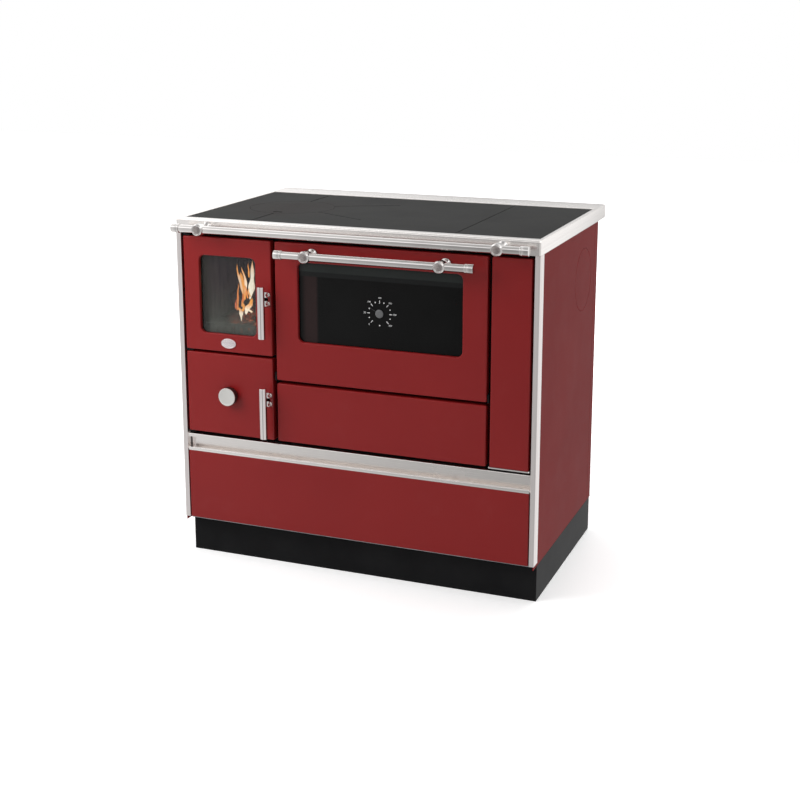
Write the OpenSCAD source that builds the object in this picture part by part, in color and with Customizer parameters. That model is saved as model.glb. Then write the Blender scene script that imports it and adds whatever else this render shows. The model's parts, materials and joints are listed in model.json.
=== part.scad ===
// Wood-burning cook stove, millimetres, +Z up.
// Modules are drawn with Y = 0 at the front faces and +Y towards the back.
// from_face() then moves them so that the origin is the centre of the footprint.

/* [Overall size] */
// Width over the top frame
stove_w = 900; // [860:1:1000]
// Depth of the top frame
stove_d = 600; // [590:1:660]
// Height of the top frame above the floor
stove_h = 850; // [835:1:900]
// Depth of the body from its front faces to its back cover
body_d = 530; // [525:1:560]
// Sheet thickness of the outer panels
sheet = 1.5; // [1.2:0.1:2]

/* [Plinth and base] */
// Height of the plinth
plinth_h = 88; // [70:1:100]
// Setback of the plinth from the front faces
plinth_setback = 36; // [25:1:60]
// Setback of the plinth from the sides
plinth_inset = 3; // [1:1:10]
// Width of the foot flange folded inwards under the plinth
plinth_flange = 25; // [15:1:40]
// Gap between the plinth and the drawer front
toe_gap = 11; // [8:1:14]

/* [Top frame and hob] */
// Height of the top frame's skirt
frame_h = 34; // [30:1:40]
// Width of the front member
frame_front_w = 28; // [22:1:40]
// Width of the side members
frame_side_w = 10; // [8:1:14]
// Width of the rear member
frame_rear_w = 93; // [75:1:110]
// Sheet thickness of the top frame
frame_sheet = 2; // [1.5:0.1:3]
// Width of the ledge that carries the hob plates
ledge_w = 12; // [8:1:16]
// Thickness of the hob plates
hob_t = 8; // [6:0.5:10]
// Depth of the hob surface below the top of the frame
hob_drop = 2; // [1:0.5:4]
// Running gap round each hob plate
hob_gap = 1; // [0.5:0.1:2]
// Distance from the stove's middle to the seam between the plates
seam_x = 240; // [220:1:260]
// Diameter of the lid over the fire
lid_d = 212; // [180:1:220]
// Distance from the stove's middle to the lid's centre
lid_x = 272; // [265:1:280]
// Distance from the front faces to the lid's centre
lid_y = 271; // [250:1:290]
// Width of the seat under the lid's rim
lid_seat = 7; // [5:1:10]
// Width of the expansion slots in the main plate
slot_w = 3; // [2:0.5:4]
// Angle of the two slanted expansion slots
slot_angle = 28; // [20:1:40]
// Length of the slanted expansion slots
slot_len = 165; // [120:1:180]

/* [Corner posts and back] */
// Width of a post's front face
post_face_w = 12; // [10:1:18]
// Depth of a post's side face
post_side_w = 30; // [24:1:45]
// Width of the back cover's wrap round the sides
back_wrap = 29; // [24:1:34]
// Pitch of the air slots in the back cover
vent_pitch = 60; // [52:1:70]
// Length of an air slot
vent_w = 44; // [30:1:48]
// Height of an air slot
vent_h = 8; // [5:0.5:10]

/* [Front layout] */
// Gap between the posts and the fronts
side_gap = 6; // [4:1:8]
// Gap above the doors
top_gap = 7.5; // [7.5:0.5:10]
// Gap between the doors on the left and the oven door
column_gap = 10.5; // [10:0.5:14]
// Gap between the oven door and the narrow panel
panel_gap = 9; // [9:0.5:12]
// Gap between the fronts and the drawer handle
row_gap = 8; // [7:0.5:10]
// Gap between the two doors on the left
door_gap = 6.5; // [6.5:0.5:9]
// Gap between the oven door and the panel under it
oven_gap = 8; // [7:0.5:10]
// Width of the fire door
fire_door_w = 231.5; // [225:0.5:240]
// Height of the ash door
ash_door_h = 200.5; // [190:0.5:220]
// Width of the oven door
oven_door_w = 521.5; // [500:0.5:530]
// Height of the oven door
oven_door_h = 332.5; // [325:0.5:345]
// Height of the drawer's red front
drawer_front_h = 174; // [160:1:185]
// Depth of the folded returns of the doors
door_depth = 20; // [20:0.5:20.5]
// Distance from the front faces to the steel face frame
face_y = 24; // [24:0.5:26]
// Thickness of the steel face frame
face_t = 3; // [2:0.5:4]
// Corner radius of the fronts
front_r = 3; // [1:0.5:5]

/* [Fire door window] */
// Width of the window in the fire door
fire_window_w = 149; // [130:1:155]
// Height of the red border above and below the window
fire_window_border = 43.75; // [40:0.25:50]
// Corner radius of both windows
window_r = 14; // [8:1:20]
// Depth of the folded edge round both windows
window_fold = 8; // [6:0.5:9]
// Thickness of the ceramic glass
glass_t = 4; // [3:0.5:5]
// Overlap of the glass behind the folded edge
glass_lap = 15; // [10:1:18]
// Length of the blank oval badge
badge_w = 39; // [30:1:45]
// Height of the blank oval badge
badge_h = 24; // [18:1:26]

/* [Oven door window] */
// Width of the window in the oven door
oven_window_w = 405; // [380:1:415]
// Height of the red border above the window
oven_window_top = 44.5; // [40:0.5:55]
// Distance from the oven door's lower edge to the window
oven_window_z = 98; // [90:1:105]
// Diameter of the thermometer's hub
dial_hub_d = 20; // [16:1:24]
// Height of the thermometer above the window's lower edge
dial_z = 83; // [75:1:95]
// Length of the thermometer's pointer
pointer_len = 24; // [20:1:28]

/* [Door latches] */
// Height of a latch lever's bar
bar_h = 125; // [110:1:135]
// Width of the bar
bar_w = 16; // [13:1:18]
// Thickness of the bar
bar_t = 12; // [9:1:14]
// Standoff of the bar's front from the door
bar_out = 34; // [28:1:38]
// Height of the bar above its arm
bar_above = 34; // [28:1:40]
// Setback of the latch pin from the door's free edge
latch_pin_x = 8.5; // [8:0.5:9]
// Depth of the latch pin behind the front faces
latch_pin_y = 9; // [8.5:0.5:9.5]
// Radius of the latch pin
latch_pin_r = 2.5; // [2:0.25:3]
// Sideways step from the pin to the bar's middle
bar_step = 5; // [3:0.5:6]
// Thickness of the lever's arm
arm_t = 5; // [4:0.5:6]

/* [Hinges] */
// Radius of the hinge pins
hinge_pin_r = 3; // [2.5:0.25:3.5]
// Radial running clearance of the pins
run_clear = 0.05; // [0.03:0.01:0.08]
// Thickness of the hinge brackets
bracket_t = 4; // [3:0.5:4]
// Setback of the door hinge axis from the door's edge
hinge_in = 8; // [8:0.5:9]
// Depth of the door hinge axis behind the front faces
hinge_y = 8; // [8:0.5:8.5]
// Depth of the oven hinge axis behind the front faces
oven_hinge_y = 10; // [9.5:0.5:10.5]
// Height of the oven hinge axis above the door's lower edge
oven_hinge_z = 8; // [8:0.5:9]

/* [Rail and oven handle] */
// Outer radius of the rail and of the oven handle
tube_r = 9; // [8:0.5:10]
// Wall of the rail and of the oven handle
tube_wall = 1.5; // [1:0.25:2]
// Distance from the front faces to the tubes' axes
tube_out = 40; // [36:1:46]
// Distance from the stove's middle to the rail's ends
rail_half = 436; // [425:1:440]
// Distance from the stove's middle to the rail's supports
rail_support_x = 365; // [340:1:380]
// Height of the rail's axis above the skirt's lower edge
rail_rise = 17; // [15:1:19]
// Half the length of the oven handle
handle_half = 241; // [225:1:250]
// Distance from the oven door's middle to the handle's supports
handle_support_x = 163; // [150:1:180]
// Distance from the oven door's top edge to the handle's axis
handle_drop = 22.5; // [20:0.5:28]
// Outer radius of the supports' heads
support_r = 14; // [12:0.5:15]
// Reach of the supports' heads past the tube's axis
support_front = 14; // [12:0.5:16]
// Length of the end caps
cap_len = 20; // [16:1:24]
// Outer radius of the end caps
cap_r = 11; // [10.5:0.5:12]

/* [Drawer] */
// Height of the handle profile on the drawer
grip_h = 44; // [38:1:50]
// Depth of the grip recess
grip_depth = 19; // [16:1:20]
// Height of the profile's front lips
grip_lip = 8.5; // [6:0.5:11]
// Wall of the handle profile
grip_wall = 2; // [1.5:0.5:3]
// Depth of the drawer box
drawer_d = 440; // [400:5:460]
// Height of the drawer box
drawer_h = 178; // [160:1:185]
// Gap between the drawer box and the slides
slide_w = 12; // [10:1:14]
// Height of the slides
slide_h = 40; // [30:1:46]

/* [Fire box] */
// Width of the opening behind the fire door
fire_open_w = 168; // [155:1:176]
// Overlap of the two doors on the left above and below their openings
open_lap = 25.25; // [24:0.25:32]
// Wall of the fire box casing
casing_t = 3; // [2:0.5:4]
// Depth of the fire box casing
casing_d = 400; // [370:5:410]
// Thickness of the firebricks
brick_t = 28; // [22:1:32]
// Distance from the firebricks up to the hob plates
brick_gap = 82; // [60:1:110]
// Height of the grate above the fire door's lower edge
grate_z = 16; // [12:1:24]
// Thickness of the grate
grate_t = 12; // [8:1:14]
// Width of the grate's bars
grate_bar = 9; // [7:1:11]
// Number of slots in the grate
grate_slots = 7; // [5:1:7]
// Height of the fence in front of the fire
fence_h = 46; // [35:1:55]

/* [Ash pan and air control] */
// Height of the ash pan
ash_pan_h = 78; // [60:1:90]
// Diameter of the air knob
knob_d = 44; // [38:1:50]
// Projection of the air knob
knob_out = 19; // [15:1:24]
// Diameter of the air valve's disc
air_disc_d = 104; // [90:1:110]
// Number of the valve's holes
air_holes = 6; // [4:1:6]
// Diameter of the valve's holes
air_hole_d = 18; // [14:1:18]

/* [Oven] */
// Width of the oven box inside
oven_in_w = 412; // [390:1:415]
// Distance from the oven door's lower edge up to the oven's floor
oven_floor_up = 47; // [42:0.5:56]
// Distance from the oven's ceiling up to the door's top edge
oven_ceiling_down = 21.5; // [20:0.5:30]
// Depth of the oven box
oven_box_d = 400; // [370:5:405]
// Wall of the oven box
oven_wall = 2; // [1.5:0.5:3]
// Radius of the shelf's wires
wire_r = 3; // [2:0.5:3.5]
// Number of wires across the shelf
shelf_wires = 15; // [9:2:19]
// Depth of the baking tray
tray_depth = 30; // [20:1:40]

/* [Flue] */
// Outer diameter of the flue collar
flue_d = 149; // [129:1:150]
// Wall of the flue collar
flue_wall = 3; // [2:0.5:4]
// Distance from the stove's middle to the flue collar
flue_x = 345; // [340:1:350]
// Distance from the top of the body down to the flue outlets' centres
flue_drop = 123; // [110:1:130]
// Distance from the front faces to the side outlet's centre
side_outlet_y = 392; // [385:1:395]
// Diameter of the closing disc in the side panel
disc_d = 154; // [140:1:160]
// Reach of the flue collar behind the back cover
flue_out = 60; // [45:1:65]

/* [Hidden] */
$fn = 48;

red = [0.50, 0.13, 0.13];
black = [0.11, 0.11, 0.12];
iron = [0.26, 0.26, 0.27];
steel = [0.78, 0.78, 0.77];
brick = [0.80, 0.68, 0.52];

half_w = stove_w / 2;
front_reach = tube_out + support_front;
soft_gap = 0.3;

// Plan positions, left to right
post_in_x = half_w - post_face_w;
fire_x0 = -post_in_x + side_gap;
fire_x1 = fire_x0 + fire_door_w;
fire_xc = (fire_x0 + fire_x1) / 2;
oven_x0 = fire_x1 + column_gap;
oven_x1 = oven_x0 + oven_door_w;
oven_xc = (oven_x0 + oven_x1) / 2;
narrow_x0 = oven_x1 + panel_gap;
narrow_x1 = post_in_x - side_gap;
panel_in_x = half_w - 2 * sheet;

// Heights, bottom to top
base_z = plinth_h + 2;
drawer_z0 = plinth_h + toe_gap;
grip_z0 = drawer_z0 + drawer_front_h;
grip_z1 = grip_z0 + grip_h;
row_z0 = grip_z1 + row_gap;
ash_z1 = row_z0 + ash_door_h;
fire_z0 = ash_z1 + door_gap;
body_top = stove_h - frame_h;
door_z1 = body_top - top_gap;
fire_door_h = door_z1 - fire_z0;
fire_window_h = fire_door_h - 2 * fire_window_border;
fire_open_h = fire_door_h - 2 * open_lap;
oven_z0 = door_z1 - oven_door_h;
lower_z1 = oven_z0 - oven_gap;
shelf_z = grip_z1 + 1;

// Depths
face_back = face_y + face_t;
frame_plate_y = window_fold + glass_t + 0.6;
gasket_r = 2.4;
gasket_y = face_y - soft_gap - gasket_r;

// Hob
hob_z0 = stove_h - hob_drop - hob_t;
hob_front_y = frame_front_w + hob_gap;
hob_back_y = stove_d - frame_rear_w - hob_gap;
hob_x1 = half_w - frame_side_w - hob_gap;
lid_r = lid_d / 2;
lid_step = hob_t * 3 / 8;
crossbar_h = 20;

// Fire box and ash box share their outline
casing_x0 = fire_xc - fire_open_w / 2 - casing_t - 12;
casing_x1 = fire_xc + fire_open_w / 2 + casing_t + 4;
fire_open_zc = (fire_z0 + door_z1) / 2;
grate_top = fire_z0 + grate_z + grate_t;
grate_rim = 4;
side_brick_t = brick_t - 12;
ash_open_w = fire_open_w;
ash_open_h = ash_door_h - 2 * open_lap;
ash_zc = (row_z0 + ash_z1) / 2;

// Latches sit at the middle of each opening
nose_r = 4;
latch_screw_z = 10.8;
latch_x = fire_x1 - latch_pin_x;
strike_x = latch_x - nose_r - 1;

// Sleeves for the hinge pins clear the round corners of the skins
sleeve_in = sheet + front_r * 0.6;
sleeve_l = 14;

// Oven
oven_window_h = oven_door_h - oven_window_z - oven_window_top;
oven_in_h = oven_door_h - oven_floor_up - oven_ceiling_down;
oven_floor_z = oven_z0 + oven_floor_up;
oven_zc = oven_floor_z + oven_in_h / 2;
runner_pitch = oven_in_h * 0.235;
runner_z = oven_in_h * 0.19;
dial_zc = oven_z0 + oven_window_z + dial_z;
dial_neck_r = 4.5;

// Drawer
drawer_w = 2 * (post_in_x - 2.5);

// Flue
flue_z = body_top - flue_drop;
duct_x1 = panel_in_x - 3;
duct_front_y = 60;
duct_back_y = body_d - sheet - 8;
spigot_r = flue_d / 2 - flue_wall;

module from_face() {
  translate([0, -(stove_d - front_reach) / 2, 0]) children();
}

// Box between two corners
module block(x0, x1, y0, y1, z0, z1) {
  translate([x0, y0, z0]) cube([x1 - x0, y1 - y0, z1 - z0]);
}

module rounded_rect(w, h, r) {
  square([w - 2 * r, h], center = true);
  square([w, h - 2 * r], center = true);
  for (sx = [-1, 1], sy = [-1, 1])
    translate([sx * (w / 2 - r), sy * (h / 2 - r)]) circle(r);
}

// Plate with round corners, standing in the XZ plane from y = 0 to y = t
module face_plate(w, h, t, r) {
  translate([0, t, 0]) rotate([90, 0, 0]) linear_extrude(t) rounded_rect(w, h, r);
}

// Square-cornered way through a sheet, from y0 to y1
module sheet_way(xc, zc, w, h, y0, y1) {
  block(xc - w / 2, xc + w / 2, y0, y1, zc - h / 2, zc + h / 2);
}

// Sheet front with its edges folded back
module folded_front(w, h, depth, wall = sheet) {
  difference() {
    face_plate(w, h, depth, front_r);
    translate([0, wall, 0]) face_plate(w - 2 * wall, h - 2 * wall, depth, front_r - wall / 2);
  }
}

// Rope seal of round section on a rounded rectangle
module rope_ring(w, h, r, rope_r) {
  for (s = [-1, 1]) {
    translate([s * w / 2, 0, -(h / 2 - r)]) cylinder(r = rope_r, h = h - 2 * r);
    translate([-(w / 2 - r), 0, s * h / 2]) rotate([0, 90, 0]) cylinder(r = rope_r, h = w - 2 * r);
  }
  for (sx = [-1, 1], sz = [-1, 1])
    translate([sx * (w / 2 - r), 0, sz * (h / 2 - r)]) rotate([90, 0, 0])
      rotate([0, 0, sx > 0 ? (sz > 0 ? 0 : -90) : (sz > 0 ? 90 : 180)])
        rotate_extrude(angle = 90) translate([r, 0]) circle(rope_r, $fn = 24);
}

// Rod along Y between two depths
module rod_y(r, y0, y1) {
  translate([0, y0, 0]) rotate([-90, 0, 0]) cylinder(r = r, h = y1 - y0);
}

// Rod along X between two places
module rod_x(r, x0, x1) {
  translate([x0, 0, 0]) rotate([0, 90, 0]) cylinder(r = r, h = x1 - x0);
}

module at_fire_door() {
  translate([fire_xc, 0, (fire_z0 + door_z1) / 2]) children();
}

module at_ash_door() {
  translate([fire_xc, 0, ash_zc]) children();
}

module at_oven_window() {
  translate([oven_xc, 0, oven_z0 + oven_window_z + oven_window_h / 2]) children();
}

// Plinth and carcass
module plinth() {
  w = half_w - plinth_inset;
  color(black) from_face() difference() {
    block(-w, w, plinth_setback, body_d, 0, plinth_h);
    block(-w + 2, w - 2, plinth_setback + 2, body_d - 2, 2, plinth_h + 1);
    block(-w + plinth_flange, w - plinth_flange, plinth_setback + plinth_flange,
      body_d - plinth_flange, -1, 3);
  }
}

module base_pan() {
  color(iron) from_face()
    block(-panel_in_x, panel_in_x, face_y, body_d - sheet, plinth_h, base_z);
}

module side_sheet(side) {
  x = side * (half_w - 1.5 * sheet);
  block(x - sheet / 2, x + sheet / 2, sheet, body_d - back_wrap - 1, base_z, body_top);
}

module side_panel_left() {
  color(red) from_face() side_sheet(-1);
}

module side_panel_right() {
  color(red) from_face() difference() {
    side_sheet(1);
    translate([half_w, side_outlet_y, flue_z]) rotate([0, 90, 0])
      cylinder(r = disc_d / 2, h = 20, center = true, $fn = 96);
  }
}

// Disc that closes the side outlet, with two spring tabs behind the panel
module side_outlet_disc() {
  r = disc_d / 2 - 0.5;
  x1 = half_w - sheet;
  color(red) from_face() translate([0, side_outlet_y, flue_z]) {
    translate([x1 - sheet, 0, 0]) rotate([0, 90, 0]) cylinder(r = r, h = sheet, $fn = 96);
    for (s = [-1, 1])
      block(x1 - 2 * sheet, x1 - sheet, -12, 12, s > 0 ? r - 14 : -r - 12, s > 0 ? r + 12 : -r + 14);
  }
}

// Back cover, wrapped round both rear corners
module back_cover() {
  color(red) from_face() difference() {
    block(-(half_w - sheet), half_w - sheet, body_d - back_wrap, body_d, base_z, body_top);
    block(-panel_in_x, panel_in_x, body_d - back_wrap - 1, body_d - sheet, plinth_h, body_top + 1);
    translate([flue_x, body_d - 2 * sheet, flue_z]) rod_y(spigot_r + 1, 0, 3 * sheet, $fn = 96);
    for (i = [-5 : 5])
      translate([i * vent_pitch, body_d - 2 * sheet, plinth_h + vent_pitch])
        face_plate(vent_w, vent_h, 3 * sheet, vent_h * 0.49);
  }
}

// Post of folded sheet: front face, side face and a return to the face frame
module corner_post(side) {
  mirror([side > 0 ? 0 : 1, 0, 0]) {
    block(post_in_x, half_w, 0, sheet, drawer_z0, body_top);
    block(half_w - sheet, half_w, 0, post_side_w, drawer_z0, body_top);
    block(post_in_x, post_in_x + sheet, 0, face_y, drawer_z0, body_top);
  }
}

module corner_post_left() {
  color(steel) from_face() corner_post(-1);
}

module corner_post_right() {
  color(steel) from_face() corner_post(1);
}

// Steel face behind the doors, with an opening for each of them
module face_frame() {
  seam = 0.3;
  x0 = fire_xc - fire_open_w / 2;
  x1 = fire_xc + fire_open_w / 2;
  color(black) from_face() difference() {
    block(-panel_in_x, panel_in_x, face_y, face_back, plinth_h + 2, body_top);
    sheet_way(fire_xc, fire_open_zc, fire_open_w, fire_open_h, face_y - 1, face_back + 1);
    sheet_way(fire_xc, ash_zc, ash_open_w, ash_open_h, face_y - 1, face_back + 1);
    sheet_way(oven_xc, oven_zc, oven_in_w, oven_in_h, face_y - 1, face_back + 1);
    block(-post_in_x + 4, post_in_x - 4, face_y - 1, face_back + 1, drawer_z0 + 4, grip_z1 - 4);
    for (z = [fire_open_zc, ash_zc])
      block(strike_x - 0.5, strike_x + 18, face_y - 1, face_back + 1, z - 8, z + 8);
    // seams between the flat bars that the frame is welded from
    for (x = [x0 - seam, x1])
      block(x, x + seam, face_y - 1, face_back + 1, grip_z1 - 5, body_top + 1);
    block(-half_w, half_w, face_y - 1, face_back + 1, grip_z1 - 4 - seam, grip_z1 - 4);
  }
}

// Floor over the drawer, with two folded stands for the oven box
module middle_shelf() {
  z0 = shelf_z + 2;
  z1 = oven_floor_z - oven_wall;
  color(iron) from_face() {
    block(-panel_in_x, panel_in_x, face_back, body_d - sheet, shelf_z, z0);
    for (s = [-1, 1])
      translate([oven_xc + s * (oven_in_w / 2 - 40), face_back + 20, 0]) {
        block(-1, 1, 0, oven_box_d - 40, shelf_z, z1);
        block(-1, 20, 0, oven_box_d - 40, z1 - 2, z1);
      }
  }
}

// Top frame: rolled skirt, flat top members and the ledge for the plates
module top_frame() {
  t = frame_sheet;
  x1 = half_w - frame_side_w;
  y0 = frame_front_w;
  y1 = stove_d - frame_rear_w;
  color(steel) from_face() {
    difference() {
      block(-half_w, half_w, 0, stove_d, body_top, stove_h);
      block(-half_w + t, half_w - t, t, stove_d - t, body_top + t, stove_h - t);
      block(-x1, x1, y0, y1, body_top + t, stove_h + 1);
      block(-panel_in_x + 2, panel_in_x - 2, face_back - 1, duct_back_y + 1,
        body_top - 1, body_top + t + 1);
    }
    difference() {
      block(-x1 - t, x1 + t, y0 - t, y1 + t, hob_z0 - t, stove_h - t);
      block(-x1, x1, y0, y1, hob_z0, stove_h);
      block(-x1 + ledge_w, x1 - ledge_w, y0 + ledge_w, y1 - ledge_w, hob_z0 - t - 1, hob_z0 + 1);
    }
  }
}

// Bar under the seam between the two plates, hung between the front and rear ledges
module hob_crossbar() {
  y0 = frame_front_w + ledge_w;
  y1 = stove_d - frame_rear_w - ledge_w;
  color(iron) from_face() {
    block(seam_x - 10, seam_x + 10, y0, y1, hob_z0 - 4, hob_z0);
    block(seam_x - 2, seam_x + 2, y0, y1, hob_z0 - crossbar_h, hob_z0 - 4);
    block(seam_x - 10, seam_x + 10, y0 - 8, y1 + 8, hob_z0 - frame_sheet - 4, hob_z0 - frame_sheet);
  }
}

module expansion_slot(angle, from_r, to_r) {
  rotate(angle) translate([from_r, -slot_w / 2]) square([to_r - from_r, slot_w]);
  rotate(angle) translate([to_r, 0]) circle(slot_w / 2);
}

// Main plate with the lid's opening and four expansion slots
module hob_plate() {
  y_front = lid_y - hob_front_y - 14;
  y_back = hob_back_y - lid_y - 14;
  color(iron) from_face() difference() {
    block(-hob_x1, seam_x - hob_gap, hob_front_y, hob_back_y, hob_z0, hob_z0 + hob_t);
    translate([-lid_x, lid_y, hob_z0]) {
      translate([0, 0, lid_step]) cylinder(r = lid_r, h = hob_t, $fn = 96);
      translate([0, 0, -1]) cylinder(r = lid_r - lid_seat, h = hob_t, $fn = 96);
      translate([0, 0, -1]) linear_extrude(hob_t + 2) {
        expansion_slot(-90, lid_r - lid_seat - 2, y_front);
        expansion_slot(90, lid_r - lid_seat - 2, y_back);
        expansion_slot(slot_angle, lid_r - lid_seat - 2, lid_r + slot_len);
        expansion_slot(-slot_angle, lid_r - lid_seat - 2, lid_r + slot_len);
      }
    }
  }
}

// Plate over the smoke duct
module flue_plate() {
  color(iron) from_face()
    block(seam_x + hob_gap, hob_x1, hob_front_y, hob_back_y, hob_z0, hob_z0 + hob_t);
}

// Lid with its stepped rim, stiffening ring and the pocket for the lifter
module hob_lid() {
  color(iron) from_face() translate([-lid_x, lid_y, hob_z0]) difference() {
    union() {
      translate([0, 0, lid_step]) cylinder(r = lid_r - hob_gap / 2, h = hob_t - lid_step, $fn = 96);
      cylinder(r = lid_r - lid_seat - hob_gap / 2, h = lid_step, $fn = 96);
      difference() {
        translate([0, 0, -6]) cylinder(r = lid_r - lid_seat - 12, h = 6);
        translate([0, 0, -7]) cylinder(r = lid_r - lid_seat - 18, h = 7);
      }
    }
    translate([0, -(lid_r - 22), hob_t - 4]) linear_extrude(5) rounded_rect(24, 9, 4.4);
  }
}

// Towel rail and the oven handle share their parts
module hand_tube(half) {
  difference() {
    rod_x(tube_r, -half + 4, half - 4);
    rod_x(tube_r - tube_wall, -half, half);
  }
}

// Support turned from bar: foot, neck and a round head bored for the tube
module tube_support(foot_y) {
  difference() {
    translate([0, foot_y, 0]) rotate([90, 0, 0]) rotate_extrude() {
      reach = tube_out + support_front + foot_y;
      polygon([[0, 0], [11, 0], [11, 2], [7, 5], [7, reach - 30], [support_r, reach - 25],
        [support_r, reach - 3], [support_r - 3, reach], [0, reach]]);
    }
    translate([0, -tube_out, 0]) rod_x(tube_r + 0.1, -30, 30);
  }
}

// Cap over a tube's end with a grooved collar
module tube_cap(side) {
  mirror([side > 0 ? 0 : 1, 0, 0]) rotate([0, 90, 0]) difference() {
    rotate_extrude() polygon([[0, 0], [0, cap_len], [cap_r - 2, cap_len], [cap_r, cap_len - 2],
      [cap_r, 4], [cap_r - 1, 4], [cap_r - 1, 3], [cap_r, 3], [cap_r, 0]]);
    translate([0, 0, -1]) cylinder(r = tube_r + 0.1, h = cap_len - 3);
  }
}

module on_rail() {
  translate([0, 0, body_top + rail_rise]) children();
}

module rail_tube() {
  color(steel) from_face() on_rail() translate([0, -tube_out, 0]) hand_tube(rail_half);
}

module rail_supports() {
  color(steel) from_face() on_rail()
    for (s = [-1, 1]) translate([s * rail_support_x, 0, 0]) tube_support(0);
}

module rail_caps() {
  color(steel) from_face() on_rail()
    for (s = [-1, 1]) translate([s * (rail_half - cap_len), -tube_out, 0]) tube_cap(s);
}

// Fire box, its lining and the grate
module firebox_casing() {
  z0 = fire_z0 - 6;
  z1 = hob_z0 - 14;
  ledge_top = grate_top - grate_t - grate_rim;
  color(iron) from_face() difference() {
    block(casing_x0, casing_x1, face_back, face_back + casing_d, z0, z1);
    block(casing_x0 + casing_t, casing_x1 - casing_t, face_back + casing_t,
      face_back + casing_d - casing_t, ledge_top, z1 + 1);
    block(casing_x0 + casing_t + 8, casing_x1 - casing_t - 8, face_back + casing_t,
      face_back + casing_d - casing_t, z0 + casing_t, z1 + 1);
    sheet_way(fire_xc, fire_open_zc, fire_open_w, fire_open_h, face_back - 1, face_back + casing_t + 1);
    block(casing_x0 + 30, casing_x1 - 30, face_back + 60, face_back + casing_d - 40, z0 - 1, z0 + 5);
  }
}

// Lining of the fire box: two slabs on each side and two at the rear
module firebricks() {
  x0 = casing_x0 + casing_t;
  x1 = casing_x1 - casing_t;
  y0 = face_back + casing_t + soft_gap;
  y1 = face_back + casing_d - casing_t;
  z0 = grate_top - grate_t;
  len = (y1 - brick_t - y0) / 2;
  z1 = hob_z0 - brick_gap;
  w = (x1 - x0) / 2;
  color(brick) from_face() for (i = [0, 1]) {
    for (x = [x0, x1 - side_brick_t])
      block(x, x + side_brick_t, y0 + i * len, y0 + (i + 1) * len - 0.4, z0, z1);
    block(x0 + i * w, x0 + (i + 1) * w - 0.4, y1 - brick_t, y1, z0, z1);
  }
}

// Cast grate: a flat rim, and a raised field with two rows of slots
module grate() {
  x0 = casing_x0 + casing_t + 1;
  x1 = casing_x1 - casing_t - 1;
  y0 = face_back + casing_t + 1;
  y1 = face_back + casing_d - casing_t - 1;
  rim = grate_top - grate_t;
  field = (y1 - y0) / 2 - 40;
  margin = 25;
  pitch = (x1 - x0 - 2 * margin) / grate_slots;
  slot_l = field - 2 * grate_bar;
  color(iron) from_face() difference() {
    union() {
      block(x0, x1, y0, y1, rim - grate_rim, rim);
      block(x0 + 22, x1 - 22, (y0 + y1) / 2 - field, (y0 + y1) / 2 + field, rim, grate_top);
    }
    for (i = [0 : grate_slots - 1], s = [-1, 1])
      translate([x0 + margin + (i + 0.5) * pitch, (y0 + y1) / 2 + s * field / 2, rim - grate_rim - 1])
        linear_extrude(grate_t + grate_rim + 2)
          rounded_rect(pitch - grate_bar, slot_l, (pitch - grate_bar) / 2 - 0.1);
  }
}

// Low fence that keeps logs off the glass
module fire_fence() {
  x0 = casing_x0 + casing_t + side_brick_t + 1;
  x1 = casing_x1 - casing_t - side_brick_t - 1;
  w = x1 - x0;
  slot = w * 0.065;
  color(iron) from_face()
    translate([(x0 + x1) / 2, face_back + casing_t + 3, grate_top - grate_t]) difference() {
      union() {
        block(-w / 2, w / 2, 0, 6, 0, fence_h);
        block(-w / 2, w / 2, 0, 30, 0, 4);
      }
      for (i = [-3 : 3])
        translate([i * w / 7.4, -1, fence_h * 0.59]) face_plate(slot, fence_h * 0.56, 8, slot * 0.49);
    }
}

module ash_box() {
  z1 = fire_z0 - 6;
  color(iron) from_face() difference() {
    block(casing_x0, casing_x1, face_back, face_back + casing_d, shelf_z + 2, z1);
    block(casing_x0 + casing_t, casing_x1 - casing_t, face_back + casing_t,
      face_back + casing_d - casing_t, shelf_z + 2 + casing_t, z1 + 1);
    sheet_way(fire_xc, ash_zc, ash_open_w, ash_open_h, face_back - 1, face_back + casing_t + 1);
  }
}

// Ash pan with a folded rim and a bail at its front, standing on two skids
module ash_pan() {
  w = ash_open_w - 14;
  d = casing_d - 40;
  z0 = ash_zc - ash_open_h / 2 + 4;
  y0 = face_back + 20;
  color(steel) from_face() translate([fire_xc, y0, z0]) {
    difference() {
      block(-w / 2, w / 2, 0, d, 0, ash_pan_h);
      block(-w / 2 + 1.5, w / 2 - 1.5, 1.5, d - 1.5, 1.5, ash_pan_h + 1);
    }
    for (s = [-1, 1]) translate([s * 32, 0, ash_pan_h - 18]) rod_y(3, -13, 0);
    translate([0, -13, ash_pan_h - 18]) rod_x(3, -35, 35);
    for (s = [-1, 1])
      block(s * (w / 2 - 20) - 4, s * (w / 2 - 20) + 4, 10, d - 10, shelf_z + 2 + casing_t - z0, 0);
  }
}

// Oven box with three pairs of pressed runners
module oven_box() {
  w = oven_in_w / 2 + oven_wall;
  h = oven_in_h / 2 + oven_wall;
  color(iron) from_face() translate([oven_xc, face_back, oven_zc]) {
    difference() {
      block(-w, w, 0, oven_box_d, -h, h);
      block(-w + oven_wall, w - oven_wall, -1, oven_box_d - oven_wall, -h + oven_wall, h - oven_wall);
    }
    for (s = [-1, 1], i = [0 : 2], dz = [0, 14])
      translate([s * (w - oven_wall / 2 - 5), 0, -h + oven_wall + runner_z + i * runner_pitch + dz])
        block(-5, 5, 20, oven_box_d - 30, 0, 3);
  }
}

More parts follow.
